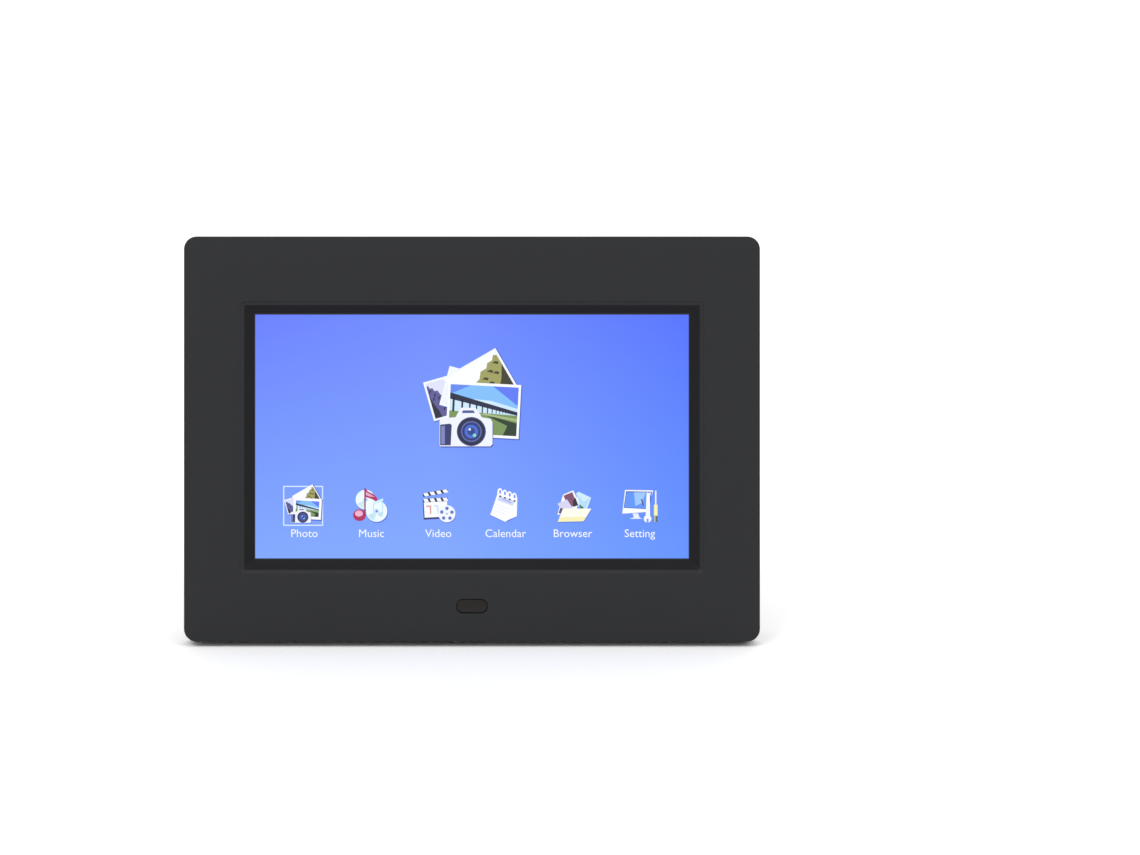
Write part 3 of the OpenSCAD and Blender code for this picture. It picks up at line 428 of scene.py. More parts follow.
def avenue_card(mesh, at, turn, width, height, layer):
    """The front print: a row of trees that recedes to the right over a green field."""
    film(mesh, shifted(block_shape(width + 0.3, height + 0.3), 0.2, -0.25), CARD_SHADOW, layer - 1, at, turn)
    film(mesh, block_shape(width, height), (250, 252, 255), layer, at, turn)
    w, h = width - 1.7, height - 1.9
    film(mesh, block_shape(w, h), (128, 190, 252), layer + 1, at, turn)
    film(mesh, [(-w / 2, h / 2), (-w * 0.2, h / 2), (-w / 2, h * 0.3)], (96, 138, 240), layer + 2, at, turn)
    film(mesh, [(w * 0.12, h / 2), (w / 2, h * 0.12), (w / 2, h / 2)], (92, 120, 244), layer + 2, at, turn)
    film(mesh, [(-w / 2, -h * 0.1), (w / 2, -h * 0.1), (w / 2, h * 0.06), (w * 0.1, h * 0.2), (-w / 2, h * 0.24)],
         (206, 234, 254), layer + 2, at, turn)
    film(mesh, [(-w / 2, -h / 2), (w / 2, -h / 2), (w / 2, -h * 0.08), (-w / 2, -h * 0.04)],
         (118, 148, 84), layer + 3, at, turn)
    film(mesh, [(-w / 2, h * 0.33), (w / 2, -h * 0.01), (w / 2, -h * 0.08), (-w / 2, h * 0.2)],
         (28, 32, 62), layer + 4, at, turn)
    x = -w * 0.46
    gap = w * 0.13
    while x < w * 0.46:
        top = h * (0.16 - 0.26 * (x / w + 0.5))
        low, high, far = -h * 0.06, top + h * 0.08, x + gap * 0.24
        film(mesh, [(x, low), (far, low), (far, high), (x, high)], (28, 32, 62), layer + 4, at, turn)
        x += gap
        gap *= 0.88
    film(mesh, [(0, -h * 0.08), (w / 2, -h * 0.24), (w / 2, -h / 2), (w * 0.3, -h / 2), (w * 0.36, -h * 0.3)],
         (36, 54, 34), layer + 4, at, turn)
    film(mesh, [(-w * 0.1, -h * 0.08), (w / 2, -h * 0.2), (w / 2, -h * 0.15), (w * 0.05, -h * 0.07)],
         (164, 184, 128), layer + 5, at, turn)


def camera_sign(mesh, at, size, layer):
    """A small silver camera with a dark grip, size millimetres wide."""
    body = [(-0.5, -0.26), (-0.48, -0.28), (0.46, -0.28), (0.5, -0.24), (0.5, 0.18), (0.46, 0.24), (0.3, 0.27),
            (0.18, 0.45), (-0.1, 0.45), (-0.2, 0.27), (-0.5, 0.25)]
    film(mesh, [(x * size, z * size) for x, z in shifted(body, 0.012, -0.02)], (40, 58, 160), layer, at)
    film(mesh, [(x * size, z * size) for x, z in body], (238, 242, 254), layer + 1, at)
    film(mesh, [(x * size, z * size) for x, z in ((-0.49, -0.26), (-0.29, -0.26), (-0.27, 0.12), (-0.3, 0.15),
                                                  (-0.49, 0.13))], (44, 52, 106), layer + 2, at)
    film(mesh, [(x * size, z * size) for x, z in ((-0.47, -0.24), (-0.4, -0.24), (-0.4, 0.11), (-0.47, 0.1))],
         (120, 130, 190), layer + 3, at)
    film(mesh, [(x * size, z * size) for x, z in ((-0.08, 0.35), (0.17, 0.35), (0.14, 0.4), (-0.06, 0.4))],
         (70, 84, 150), layer + 2, at)
    lens = (size * 0.1, 0)
    for step, (radius, tint) in enumerate(((0.275, (52, 60, 116)), (0.255, (22, 26, 62)), (0.2, (82, 96, 160)),
                                           (0.17, (30, 42, 110)), (0.13, (64, 104, 206)), (0.07, (36, 60, 140)))):
        film(mesh, shifted(disc_shape(size * radius, 28), *lens), tint, layer + 3 + step, at)
    film(mesh, shifted(disc_shape(size * 0.035, 10), lens[0] + size * 0.06, lens[1] - size * 0.07),
         (130, 220, 190), layer + 9, at)
    film(mesh, shifted(disc_shape(size * 0.022, 10), lens[0] - size * 0.03, lens[1] + size * 0.04), WHITE,
         layer + 9, at)


lit_film, tree, shader, place = start_material("lit_film")
tint = tree.nodes.new("ShaderNodeAttribute")
tint.attribute_name = "tint"
lit(shader, tree, tint.outputs["Color"])

mesh = bmesh.new()
print_card(mesh, (-10.6, 86.3), 16, 10, 14.3, 2, (222, 226, 250), (92, 88, 150), side=-1)
print_card(mesh, (-5.2, 89.6), -15, 9.5, 14.3, 7, (238, 244, 255), (214, 226, 250))
print_card(mesh, (3.1, 91.6), 30, 21.5, 16.4, 12, (250, 252, 255), (158, 158, 92))
avenue_card(mesh, (4.1, 82), -3, 25.9, 19.2, 17)
camera_sign(mesh, (-2.1, 74.4), 18.8, 24)
bmesh.ops.recalc_face_normals(mesh, faces=mesh.faces)
finished("menu_prints", mesh, lit_film, "frame", "screen_glass")

mesh = bmesh.new()


def sign_place(number):
    return ((number - 2.5) * ICON_PITCH, ICON_Z)


# Photos: the same pile, small, in a selection box
at = sign_place(0)
print_card(mesh, (at[0] - 4.6, at[1] - 0.6), 16, 3.8, 5.4, 2, (214, 220, 250), (92, 88, 150), side=-1)
print_card(mesh, (at[0] + 0.9, at[1] + 2.2), 30, 8.4, 6.4, 7, (250, 252, 255), (158, 158, 92))
avenue_card(mesh, (at[0] + 1.1, at[1] - 1.6), -3, 10, 7.4, 12)
camera_sign(mesh, (at[0] - 1.2, at[1] - 4.6), 7.2, 19)
for side in (-1, 1):
    film(mesh, shifted(block_shape(14.2, 0.42), -0.4, side * 6.9 - 0.6), (212, 230, 255), 1, at)
    film(mesh, shifted(block_shape(0.42, 14.2), side * 6.9 - 0.4, -0.6), (212, 230, 255), 1, at)

# Music: two pale discs and a red note
at = sign_place(1)
for step, (x, z, radius) in enumerate(((-2.1, 1.6, 3.5), (1.9, -2.5, 3.8))):
    film(mesh, shifted(disc_shape(radius + 0.1, 32), x + 0.2, z - 0.3), (80, 110, 214), 1 + 6 * step, at)
    film(mesh, shifted(disc_shape(radius, 32), x, z), (236, 248, 255), 2 + 6 * step, at)
    film(mesh, shifted([(0, 0)] + [(radius * 0.9 * math.cos(a), radius * 0.9 * math.sin(a))
                                   for a in (3.6, 3.9, 4.2, 4.5)], x, z), (204, 232, 246), 3 + 6 * step, at)
    film(mesh, shifted(disc_shape(radius * 0.24, 20), x, z), (196, 222, 246), 4 + 6 * step, at)
    film(mesh, shifted(disc_shape(radius * 0.1, 14), x, z), (84, 122, 232), 5 + 6 * step, at)
film(mesh, shifted([(c * 1.1, s) for c, s in disc_shape(2.1, 24)], -4.2, -3.9), (176, 30, 84), 14, at)
film(mesh, shifted([(c * 1.3, s) for c, s in disc_shape(1.1, 18)], -4.4, -3.3), (240, 176, 208), 15, at)
film(mesh, [(-2.5, -3.9), (-2.0, -3.9), (-2.0, 5.6), (-2.5, 5.9)], (150, 30, 84), 15, at)
film(mesh, [(-2.2, 5.8), (-1.2, 4.5), (1.0, 3.4), (2.1, 2.2), (2.2, 1.1), (1.7, 0.2), (1.3, 1.2), (0, 1.9),
            (-2.2, 2.6)], (178, 36, 92), 16, at)
film(mesh, [(-1.9, 4.4), (-0.2, 3.4), (1.2, 2.6), (-0.4, 2.7), (-1.9, 3.2)], (232, 170, 204), 17, at)
for x, z in ((0.1, -4.3), (3.3, -3.6)):
    film(mesh, shifted(disc_shape(0.85, 16), x, z), (190, 226, 240), 17, at)
    film(mesh, shifted(block_shape(0.35, 4.4), x + 0.7, z + 2.2), (190, 226, 240), 17, at)
film(mesh, [(0.65, -0.2), (4.2, 1.2), (4.2, 2.1), (0.65, 0.7)], (206, 236, 248), 18, at)

# Video: a clapperboard and a reel
at = sign_place(2)
film(mesh, shifted(block_shape(8.8, 6.0), 0.1, -0.2), (40, 46, 110), 2, (at[0] - 1.1, at[1] - 2.1), 3)
film(mesh, block_shape(8.3, 5.4), (248, 250, 255), 3, (at[0] - 0.9, at[1] - 1.9), 3)
for x, tint_here in ((-2.5, (226, 150, 160)), (0.1, (196, 224, 240))):
    film(mesh, shifted(block_shape(1.7, 0.5), x, 1.3), tint_here, 4, (at[0] - 0.9, at[1] - 1.9), 3)
    film(mesh, shifted(block_shape(0.5, 3.0), x + 0.6, 0), tint_here, 4, (at[0] - 0.9, at[1] - 1.9), 3)
for lift, turn in ((1.5, 3), (4.0, 10)):
    film(mesh, block_shape(8.9, 1.35), INK, 5, (at[0] - 1.1, at[1] + lift), turn)
    for stripe in range(4):
        slanted = [(-0.3, -0.6), (1.2, -0.6), (0.7, 0.6), (-0.8, 0.6)]
        film(mesh, shifted(slanted, -3.5 + 2.3 * stripe, 0), WHITE, 6, (at[0] - 1.1, at[1] + lift), turn)
reel = (at[0] + 3.0, at[1] - 3.4)
film(mesh, shifted(disc_shape(3.1, 32), 0.1, -0.25), (84, 108, 206), 7, reel)
film(mesh, disc_shape(3.05, 32), (240, 246, 255), 8, reel)
film(mesh, disc_shape(0.3, 14), (120, 136, 200), 9, reel)
for number in range(5):
    swing = math.tau * number / 5 + 0.3
    hub = (1.9 * math.cos(swing), 1.9 * math.sin(swing))
    film(mesh, shifted(disc_shape(0.62, 16), *hub), (92, 112, 196), 9, reel)

# Calendar: a tilted pad with rings and a pale header
at = sign_place(3)
film(mesh, [(-5.4, -4.1), (-0.1, -6.6), (4.0, -4.6), (4.1, 0.2), (-2.3, 3.1)], (92, 120, 226), 1, at)
film(mesh, [(-5.4, -3.8), (-0.1, -6.3), (0.9, -5.6), (4.0, -4.3), (4.2, 2.2), (-2.6, 4.4)],
     (250, 252, 255), 2, at)
film(mesh, [(-2.9, 1.4), (2.5, -0.6), (3.4, 1.0), (-2.1, 3.2)], (196, 220, 255), 3, at)
film(mesh, [(-1.6, 1.7), (1.9, 0.3), (2.2, 0.8), (-1.3, 2.2)], (196, 176, 236), 4, at)
for column in range(4):
    x, z = -2.0 + 1.7 * column, 4.2 - 0.55 * column
    film(mesh, shifted([(c * 0.62, s) for c, s in disc_shape(1.5, 18)], x, z), (252, 253, 255), 5, at)
    film(mesh, shifted([(c * 0.5, s) for c, s in disc_shape(0.7, 14)], x + 0.1, z + 0.2), (106, 142, 246), 6, at)
    film(mesh, shifted([(c * 1.3, s) for c, s in disc_shape(0.33, 12)], x + 0.1, z - 1.4), (88, 72, 72), 6, at)
for row in range(3):
    film(mesh, shifted(block_shape(5.6, 0.16), -0.4 - 0.35 * row, -1.2 - 1.1 * row), (222, 226, 244), 4, at, -20)

# Browser: prints and an envelope in an open folder
at = sign_place(4)
film(mesh, [(-3.0, -2.4), (-5.2, -4.0), (-5.3, -3.4), (-3.4, 3.4), (0.2, 4.9), (2.4, 0.4), (0.6, -3.0)],
     (250, 250, 255), 2, at)
film(mesh, [(-3.3, 3.0), (-0.1, 4.3), (1.6, 0.0), (-1.2, -1.4)], (128, 74, 104), 3, at)
film(mesh, [(0.2, 1.2), (1.0, 2.4), (2.0, -0.4), (0.2, -1.0)], (38, 28, 44), 4, at)
film(mesh, [(-5.0, -3.2), (-4.2, -0.8), (-2.0, -2.0), (-3.2, -3.4)], (84, 62, 110), 4, at)
film(mesh, [(-5.4, 0.2), (-2.0, 1.7), (0.2, -1.6), (-4.4, -1.4)], (214, 210, 240), 5, at)
film(mesh, [(1.3, 3.9), (2.2, 4.4), (6.6, 2.3), (5.0, -2.0), (2.4, -2.0)], (206, 236, 252), 2, at)
film(mesh, [(1.7, 3.4), (3.9, 0.8), (6.1, 2.2), (4.6, -1.6), (2.8, -1.2)], (178, 220, 246), 3, at)
film(mesh, [(2.4, 0), (4.2, -1.4), (2.4, -1.8)], (60, 120, 96), 4, at)
film(mesh, shifted([(-5.3, -6.3), (3.9, -6.1), (6.7, -1.6), (-3.4, -1.5)], 0.1, -0.3), (84, 108, 206), 11, at)
film(mesh, [(-5.3, -6.3), (3.9, -6.1), (6.7, -1.6), (-3.4, -1.5)], (252, 251, 236), 12, at)
film(mesh, [(-5.3, -6.3), (3.9, -6.1), (4.9, -4.5), (-4.6, -4.6)], (246, 240, 180), 13, at)

# Setting: a screen with a spanner and a screwdriver
at = sign_place(5)
film(mesh, [(-6.3, -3.6), (2.6, -3.0), (4.9, 4.9), (-5.2, 5.2)], (92, 116, 216), 1, at)
film(mesh, [(-6.2, -3.4), (2.6, -2.8), (4.8, 4.9), (-5.2, 5.1)], (248, 250, 255), 2, at)
film(mesh, [(-5.7, -1.3), (3.4, -1.8), (4.4, 4.4), (-4.8, 4.6)], (34, 60, 150), 3, at)
film(mesh, [(-5.5, -1.1), (3.2, -1.6), (4.1, 4.2), (-4.6, 4.3)], (92, 148, 250), 4, at)
film(mesh, [(-2.0, 4.2), (2.2, 4.2), (0.8, 0.4), (-1.6, -0.6)], (156, 198, 255), 5, at)
film(mesh, [(0.4, 1.8), (0.9, 1.9), (1.5, -0.6), (1.1, -0.6)], (84, 72, 104), 6, at)
film(mesh, [(-2.6, -3.3), (-0.6, -3.2), (0, -4.8), (1.0, -5.2), (-3.6, -5.2), (-2.0, -4.6)],
     (232, 238, 252), 1, at)
film(mesh, [(2.1, -4.6), (3.7, -4.6), (3.6, 3.0), (4.0, 4.2), (3.2, 3.9), (2.5, 4.3), (2.4, 3.0)], WHITE, 7, at)
film(mesh, shifted(disc_shape(1.35, 20), 2.8, -5.2), WHITE, 7, at)
film(mesh, [(2.4, -5.2), (3.2, -5.2), (3.1, -6.7), (2.5, -6.7)], (110, 152, 252), 8, at)
film(mesh, shifted(block_shape(0.5, 5.6), 5.7, 2.0), (240, 244, 255), 7, at)
film(mesh, shifted(block_shape(1.3, 4.0), 5.7, -2.2), (246, 240, 170), 8, at)
film(mesh, shifted(block_shape(1.3, 2.4), 5.7, -5.2), (88, 100, 96), 8, at)
film(mesh, shifted(block_shape(0.4, 2.2), 5.4, -5.2), (190, 200, 196), 9, at)
bmesh.ops.recalc_face_normals(mesh, faces=mesh.faces)
finished("menu_signs", mesh, lit_film, "frame", "screen_glass")

# The words under the signs
WORDS = ("Photo", "Music", "Video", "Calendar", "Browser", "Setting")
mesh = bmesh.new()
for number, word in enumerate(WORDS):
    letters = bpy.data.curves.new("word_" + word, "FONT")
    letters.body = word
    letters.size = 4.0
    letters.offset = 0
    letters.align_x = "CENTER"
    letters.align_y = "CENTER"
    letters.extrude = LAYER / 2
    letters.resolution_u = 3
    shape = bpy.data.objects.new("word_" + word, letters)
    bpy.context.scene.collection.objects.link(shape)
    bpy.context.view_layer.update()
    flat = bpy.data.meshes.new_from_object(shape.evaluated_get(bpy.context.evaluated_depsgraph_get()))
    flat.transform(Matrix.Translation(((number - 2.5) * ICON_PITCH, GLASS_Y - 2 * LAYER, LABEL_Z))
                   @ Matrix.Rotation(math.pi / 2, 4, "X"))
    mesh.from_mesh(flat)
    bpy.data.meshes.remove(flat)
    bpy.data.objects.remove(shape)
    bpy.data.curves.remove(letters)
paint = tint_layer(mesh)
for face in mesh.faces:
    for loop in face.loops:
        loop[paint] = (*linear(*WHITE), 1)
finished("menu_words", mesh, lit_film, "frame", "screen_glass")

# ---- Display module ----
# Behind the menu: dark polarised glass, films and a light guide in a white mid
# frame, pressed between thin zinc-plated sheets with foam against the bezel.


def dressed(material, slot_name, *nodes):
    """Gives the finish to CAD nodes that are shown as they are."""
    for node in nodes:
        shown = frame["nodes"][node]
        if not shown.material_slots:
            shown.data.materials.append(material)
        shown.material_slots[0].link = "OBJECT"
        shown.material_slots[0].material = material


def metal(name, dark, light, rough, grain):
    """Bare or plated metal, a little uneven in shade and in polish."""
    material, tree, shader, place = start_material(name)
    patches = noise(tree, place, grain, 4)
    tree.links.new(shades(tree, patches, (0.3, dark), (0.7, light)), shader.inputs["Base Color"])
    tree.links.new(spread(tree, patches, rough - 0.07, rough + 0.07), shader.inputs["Roughness"])
    shader.inputs["Metallic"].default_value = 1.0
    return material


def mottled(name, dark, light, rough, grain, depth=0.0):
    """A plain material with a slight mottle, raised by depth millimetres."""
    material, tree, shader, place = start_material(name)
    patches = noise(tree, place, grain, 4)
    tree.links.new(shades(tree, patches, (0.3, dark), (0.7, light)), shader.inputs["Base Color"])
    tree.links.new(spread(tree, patches, rough - 0.05, rough + 0.05), shader.inputs["Roughness"])
    if depth:
        relief(tree, shader, patches, depth)
    return material


black_glass = mottled("black_glass", (0.003, 0.003, 0.005), (0.005, 0.005, 0.009), 0.2, 0.2)
foam_black = mottled("foam_black", (0.006, 0.006, 0.006), (0.02, 0.02, 0.02), 0.9, 2.5, 0.1)
zinc = metal("zinc_sheet", (0.42, 0.43, 0.45), (0.62, 0.63, 0.65), 0.34, 0.4)
film_white = mottled("film_white", (0.74, 0.77, 0.8), (0.84, 0.86, 0.88), 0.3, 0.1)
white_plastic = mottled("white_plastic", (0.72, 0.72, 0.7), (0.8, 0.8, 0.78), 0.45, 0.3)
led_yellow = mottled("led_yellow", (0.78, 0.72, 0.3), (0.86, 0.84, 0.66), 0.35, 0.25)
dressed(black_glass, "screen_glass", "lcd_panel")
dressed(foam_black, "foam", "lcd_gasket", "speaker_gaskets")
dressed(zinc, "zinc_steel", "lcd_front_frame", "lcd_back_plate", "lcd_brackets", "bezel_screws", "board_screws",
        "speaker_baskets")
dressed(film_white, "light_films", "lcd_film_stack", "lcd_light_guide")
dressed(white_plastic, "white_plastic", "lcd_reflector", "lcd_mid_frame")
dressed(led_yellow, "led_strip", "lcd_led_strip")

# ---- Ribbons and wires inside ----
# Amber polyimide ribbons with copper lines, pushed into their connectors, and
# soft red PVC leads crimped into small plugs.
flex_amber, tree, shader, place = start_material("flex_amber")
lines = tree.nodes.new("ShaderNodeTexWave")
lines.wave_type = "BANDS"
lines.bands_direction = "Z"
lines.inputs["Scale"].default_value = 0.5
tree.links.new(place, lines.inputs["Vector"])
tree.links.new(shades(tree, lines.outputs["Fac"], (0.4, (0.42, 0.17, 0.03)), (0.6, (0.6, 0.3, 0.08))),
               shader.inputs["Base Color"])
shader.inputs["Roughness"].default_value = 0.3
dressed(flex_amber, "flex_film", "lcd_ribbon", "key_ribbon")
wire_red = mottled("wire_red", (0.3, 0.02, 0.015), (0.4, 0.035, 0.02), 0.5, 0.6)
dressed(wire_red, "wire_jacket", "backlight_wires", "speaker_wires", "ir_wires")

# ---- Circuit boards and what they carry ----
# Green solder mask over copper tracks, black moulded chips, nickel-plated cans
# and shells, and ivory plugs.
board_green, tree, shader, place = start_material("board_green")
cells = tree.nodes.new("ShaderNodeTexVoronoi")
cells.feature = "DISTANCE_TO_EDGE"
cells.distance = "EUCLIDEAN"
cells.inputs["Scale"].default_value = 0.45
tree.links.new(place, cells.inputs["Vector"])
tree.links.new(shades(tree, cells.outputs["Distance"], (0.03, (0.03, 0.2, 0.08)), (0.09, (0.008, 0.07, 0.03))),
               shader.inputs["Base Color"])
shader.inputs["Roughness"].default_value = 0.32
chip_black = mottled("chip_black", (0.012, 0.012, 0.013), (0.022, 0.022, 0.023), 0.5, 3.0, 0.01)
nickel = metal("nickel_plate", (0.55, 0.55, 0.54), (0.72, 0.72, 0.7), 0.22, 0.6)
ferrite = mottled("ferrite", (0.03, 0.03, 0.032), (0.06, 0.06, 0.062), 0.6, 1.5, 0.02)
ivory = mottled("ivory_nylon", (0.66, 0.62, 0.5), (0.74, 0.7, 0.6), 0.5, 0.8)
nylon_black = mottled("nylon_black", (0.01, 0.01, 0.01), (0.018, 0.018, 0.019), 0.48, 2.0, 0.01)
dressed(board_green, "circuit_board", "mainboard", "key_board", "ir_board")
dressed(chip_black, "chip_plastic", "processor", "memory_chip", "flash_chip", "ir_receiver")
dressed(nickel, "plated_metal", "crystal", "capacitors", "coin_cell", "usb_port", "mini_usb_port", "card_slot",
        "dc_jack_pin")
dressed(ferrite, "ferrite", "inductors", "speaker_magnets")
dressed(ivory, "ivory_plastic", "ribbon_connectors", "wire_connectors")
dressed(nylon_black, "black_nylon", "coin_cell_holder", "usb_tongue", "headphone_jack", "dc_jack", "key_switches")

# ---- Speaker cones ----
# Dark pressed paper with fine fibres, glued into the rim of each basket and
# seen through the grilles.
cone_paper = mottled("cone_paper", (0.02, 0.018, 0.016), (0.05, 0.045, 0.04), 0.8, 2.2, 0.04)
dressed(cone_paper, "paper_cone", "speaker_cones")

# ---- Infrared window ----
# A polished lozenge of smoky, infrared-passing acrylic held by a flange behind
# the face; the status light and the receiver show faintly through it.
window_smoke, tree, shader, place = start_material("window_smoke")
smoke = noise(tree, place, 0.3, 2)
tree.links.new(shades(tree, smoke, (0.3, (0.007, 0.005, 0.0045)), (0.7, (0.011, 0.008, 0.007))),
               shader.inputs["Base Color"])
shader.inputs["Roughness"].default_value = 0.16
shader.inputs["Specular IOR Level"].default_value = 0.16
shader.inputs["Transmission Weight"].default_value = 0.3
mesh = bmesh.new()
WINDOW_STEPS = ((0.02, 0.25), (0.08, 0.08), (0.25, 0), (BEZEL_WALL, 0), (BEZEL_WALL + 0.01, -1), (3.0, -1))
oval_rod(mesh, WINDOW_W, WINDOW_H, WINDOW_STEPS, WINDOW_Z)
bmesh.ops.recalc_face_normals(mesh, faces=mesh.faces)
finished("window_lens", mesh, window_smoke, "frame", "window_plastic", "ir_window")

# ---- Status light ----
# A small red epoxy lamp with a collar, unlit, soldered to the board behind the
# window.
led_red = mottled("led_red", (0.4, 0.03, 0.02), (0.52, 0.05, 0.03), 0.15, 0.5)
dressed(led_red, "led_epoxy", "status_led")

# ---- Rear cover ----
# The other moulding: a raised back with grilles, vents, wells and port holes, in
# the same black with a coarser grain, its edges eased as the mould leaves them.
cover_black = grained_plastic("cover_black", (0.011, 0.011, 0.012), (0.019, 0.019, 0.02), 1.6, 0.02, 0.55)
EASE, EASE_FROM = 0.22, 32
mesh = bmesh.new()
mesh.from_mesh(frame["nodes"]["rear_cover"].data)
bmesh.ops.transform(mesh, matrix=STAND.inverted(), verts=mesh.verts)
bmesh.ops.remove_doubles(mesh, verts=mesh.verts, dist=0.002)
bmesh.ops.dissolve_limit(mesh, angle_limit=math.radians(0.4), verts=mesh.verts, edges=mesh.edges)
cover = finished("cover_moulding", mesh, cover_black, "frame", "cover_plastic", "rear_cover", sharp=30)
softening = cover.modifiers.new("eased_edges", "BEVEL")
softening.limit_method = "ANGLE"
softening.angle_limit = math.radians(EASE_FROM)
softening.width = EASE * MM
softening.segments = 2
softening.use_clamp_overlap = True
softening.harden_normals = True
flatness = cover.modifiers.new("flat_faces", "WEIGHTED_NORMAL")
flatness.weight = 100
flatness.keep_sharp = True

# ---- Rating label ----
# A blank satin silver foil label, stuck to the back, with a thin printed border
# and two ruled lines.
LABEL_W, LABEL_H, LABEL_MID, BACK_Y = 52, 24, 30, 24
PRINT_Y = (BACK_Y + 0.19, BACK_Y + 0.215)
label_silver = mottled("label_silver", (0.5, 0.51, 0.52), (0.58, 0.59, 0.6), 0.36, 0.6)
label_ink = mottled("label_ink", (0.03, 0.03, 0.03), (0.05, 0.05, 0.05), 0.6, 1.0)
mesh = bmesh.new()
capped(mesh, [rounded_outline(mesh, LABEL_W - inset, LABEL_H - inset, 1.2, y, LABEL_MID)
              for y, inset in ((BACK_Y, 0), (BACK_Y + 0.15, 0), (BACK_Y + 0.2, 0.1))])
bmesh.ops.recalc_face_normals(mesh, faces=mesh.faces)
finished("label_sheet", mesh, label_silver, "frame", "label_foil", "rating_label")
mesh = bmesh.new()
ruled = [rounded_outline(mesh, LABEL_W - inset, LABEL_H - inset, 0.9, y, LABEL_MID)
         for y, inset in ((PRINT_Y[0], 2.4), (PRINT_Y[1], 2.4),
                          (PRINT_Y[1] + 0.001, 3.0), (PRINT_Y[0] + 0.001, 3.0))]
band(mesh, ruled, closed=True)
for rise in (-4, 4):
    capped(mesh, [rounded_outline(mesh, LABEL_W - 8, 0.3, 0.1, y, LABEL_MID + rise) for y in PRINT_Y])
bmesh.ops.recalc_face_normals(mesh, faces=mesh.faces)
finished("label_print", mesh, label_ink, "frame", "label_foil")

# ---- Keys ----
# Seven satin dark grey caps that press a switch each, with a flange that keeps
# them in the cover and a pale printed sign on top.
KEY_W, KEY_H, KEY_Z, KEY_TOP, FLANGE_Y, PLUNGER_Y = 7.2, 4.6, 118, 25.2, 21.5, 19.5
KEY_PLACES = {"key_power": -60, "key_menu": -49, "key_exit": -38, "key_left": -27, "key_right": -16,
              "key_up": -5, "key_down": 6}
key_grey = mottled("key_grey", (0.03, 0.03, 0.031), (0.04, 0.04, 0.042), 0.4, 2.0, 0.006)
sign_ink = mottled("sign_ink", (0.5, 0.5, 0.5), (0.58, 0.58, 0.58), 0.5, 1.0)


def arc_shape(radius, thick, start, end, steps=20):
    """A bent strip, in degrees anticlockwise from +x."""
    turns = [math.radians(start + (end - start) * i / steps) for i in range(steps + 1)]
    outer, inner = radius + thick / 2, radius - thick / 2
    return ([(outer * math.cos(a), outer * math.sin(a)) for a in turns]
            + [(inner * math.cos(a), inner * math.sin(a)) for a in reversed(turns)])


def printed(mesh, points, x, z, y):
    """A thin printed patch that faces back."""
    face = mesh.faces.new([mesh.verts.new((x + px, y - 0.02, z + pz)) for px, pz in points])
    thickened(mesh, face, 0.03)


ARROW = [(-1.0, 0), (0.7, 1.0), (0.7, -1.0)]
SIGNS = {
    "key_power": [arc_shape(1.0, 0.32, 125, 415), shifted(block_shape(0.32, 1.1), 0, 0.85)],
    "key_menu": [shifted(block_shape(2.6, 0.34), 0, rise) for rise in (-0.85, 0, 0.85)],
    "key_exit": [arc_shape(0.75, 0.3, -90, 90), shifted(block_shape(1.3, 0.3), -0.6, 0.75),
                 shifted(block_shape(1.0, 0.3), -0.5, -0.75), [(-1.9, 0.75), (-1.1, 1.35), (-1.1, 0.15)]],
    "key_left": [ARROW],
    "key_right": [[(-x, z) for x, z in ARROW]],
    "key_up": [[(z, -x) for x, z in ARROW]],
    "key_down": [[(z, x) for x, z in ARROW]],
}
KEY_STEPS = ((FLANGE_Y - 1, -0.95), (FLANGE_Y, -0.95), (FLANGE_Y + 0.01, 0), (KEY_TOP - 0.6, 0),
             (KEY_TOP - 0.3, 0.06), (KEY_TOP - 0.1, 0.22), (KEY_TOP, 0.55))
for key, x in KEY_PLACES.items():
    mesh = bmesh.new()
    oval_rod(mesh, KEY_W, KEY_H, KEY_STEPS, KEY_Z, x)
    turned(mesh, ((0, PLUNGER_Y), (1.7, PLUNGER_Y), (1.7, FLANGE_Y), (0, FLANGE_Y)),
           Matrix.Translation((x, 0, KEY_Z)), 20)
    bmesh.ops.recalc_face_normals(mesh, faces=mesh.faces)
    finished(key + "_cap", mesh, key_grey, key, "key_plastic", key)
    mesh = bmesh.new()
    for points in SIGNS[key]:
        printed(mesh, points, x, KEY_Z, KEY_TOP)
    bmesh.ops.recalc_face_normals(mesh, faces=mesh.faces)
    finished(key + "_sign", mesh, sign_ink, key, "key_plastic")

# ---- Case screws ----
# Four zinc-plated pan-head screws with punched cross recesses, deep in their
# wells; they hold the two mouldings together.
SCREW_SEAT, RECESS_FLOOR, RECESS_CUT = 11.5, 0.9, 2
mesh = bmesh.new()
recess = bmesh.new()
ARM, HALF = 1.45, 0.28
CROSS = [(HALF, HALF), (ARM, HALF), (ARM, -HALF), (HALF, -HALF), (HALF, -ARM), (-HALF, -ARM), (-HALF, -HALF),
         (-ARM, -HALF), (-ARM, HALF), (-HALF, HALF), (-HALF, ARM), (HALF, ARM)]
for number, (x, z) in enumerate(CASE_SCREWS):
    turned(mesh, ((0, -5), (1.1, -5), (1.5, -4.5), (1.5, 0), (2.8, 0), (2.8, 0.7), (2.62, 1.2), (2.2, 1.65),
                  (1.5, 1.93), (0, 2)), Matrix.Translation((x, SCREW_SEAT, z)), 40)
    spin = Matrix.Rotation(math.radians(20 + 35 * number), 2)
    corners = [spin @ Vector(p) for p in CROSS]
    floor_y = SCREW_SEAT + RECESS_FLOOR
    face = recess.faces.new([recess.verts.new((x + c.x, floor_y, z + c.y)) for c in corners])
    thickened(recess, face, RECESS_CUT)
bmesh.ops.recalc_face_normals(mesh, faces=mesh.faces)
screws = finished("case_screw_set", mesh, zinc, "frame", "zinc_steel", "case_screws")
cut(screws, as_cutter(recess, "recess_cutter"))
screws.data.set_sharp_from_angle(angle=math.radians(32))

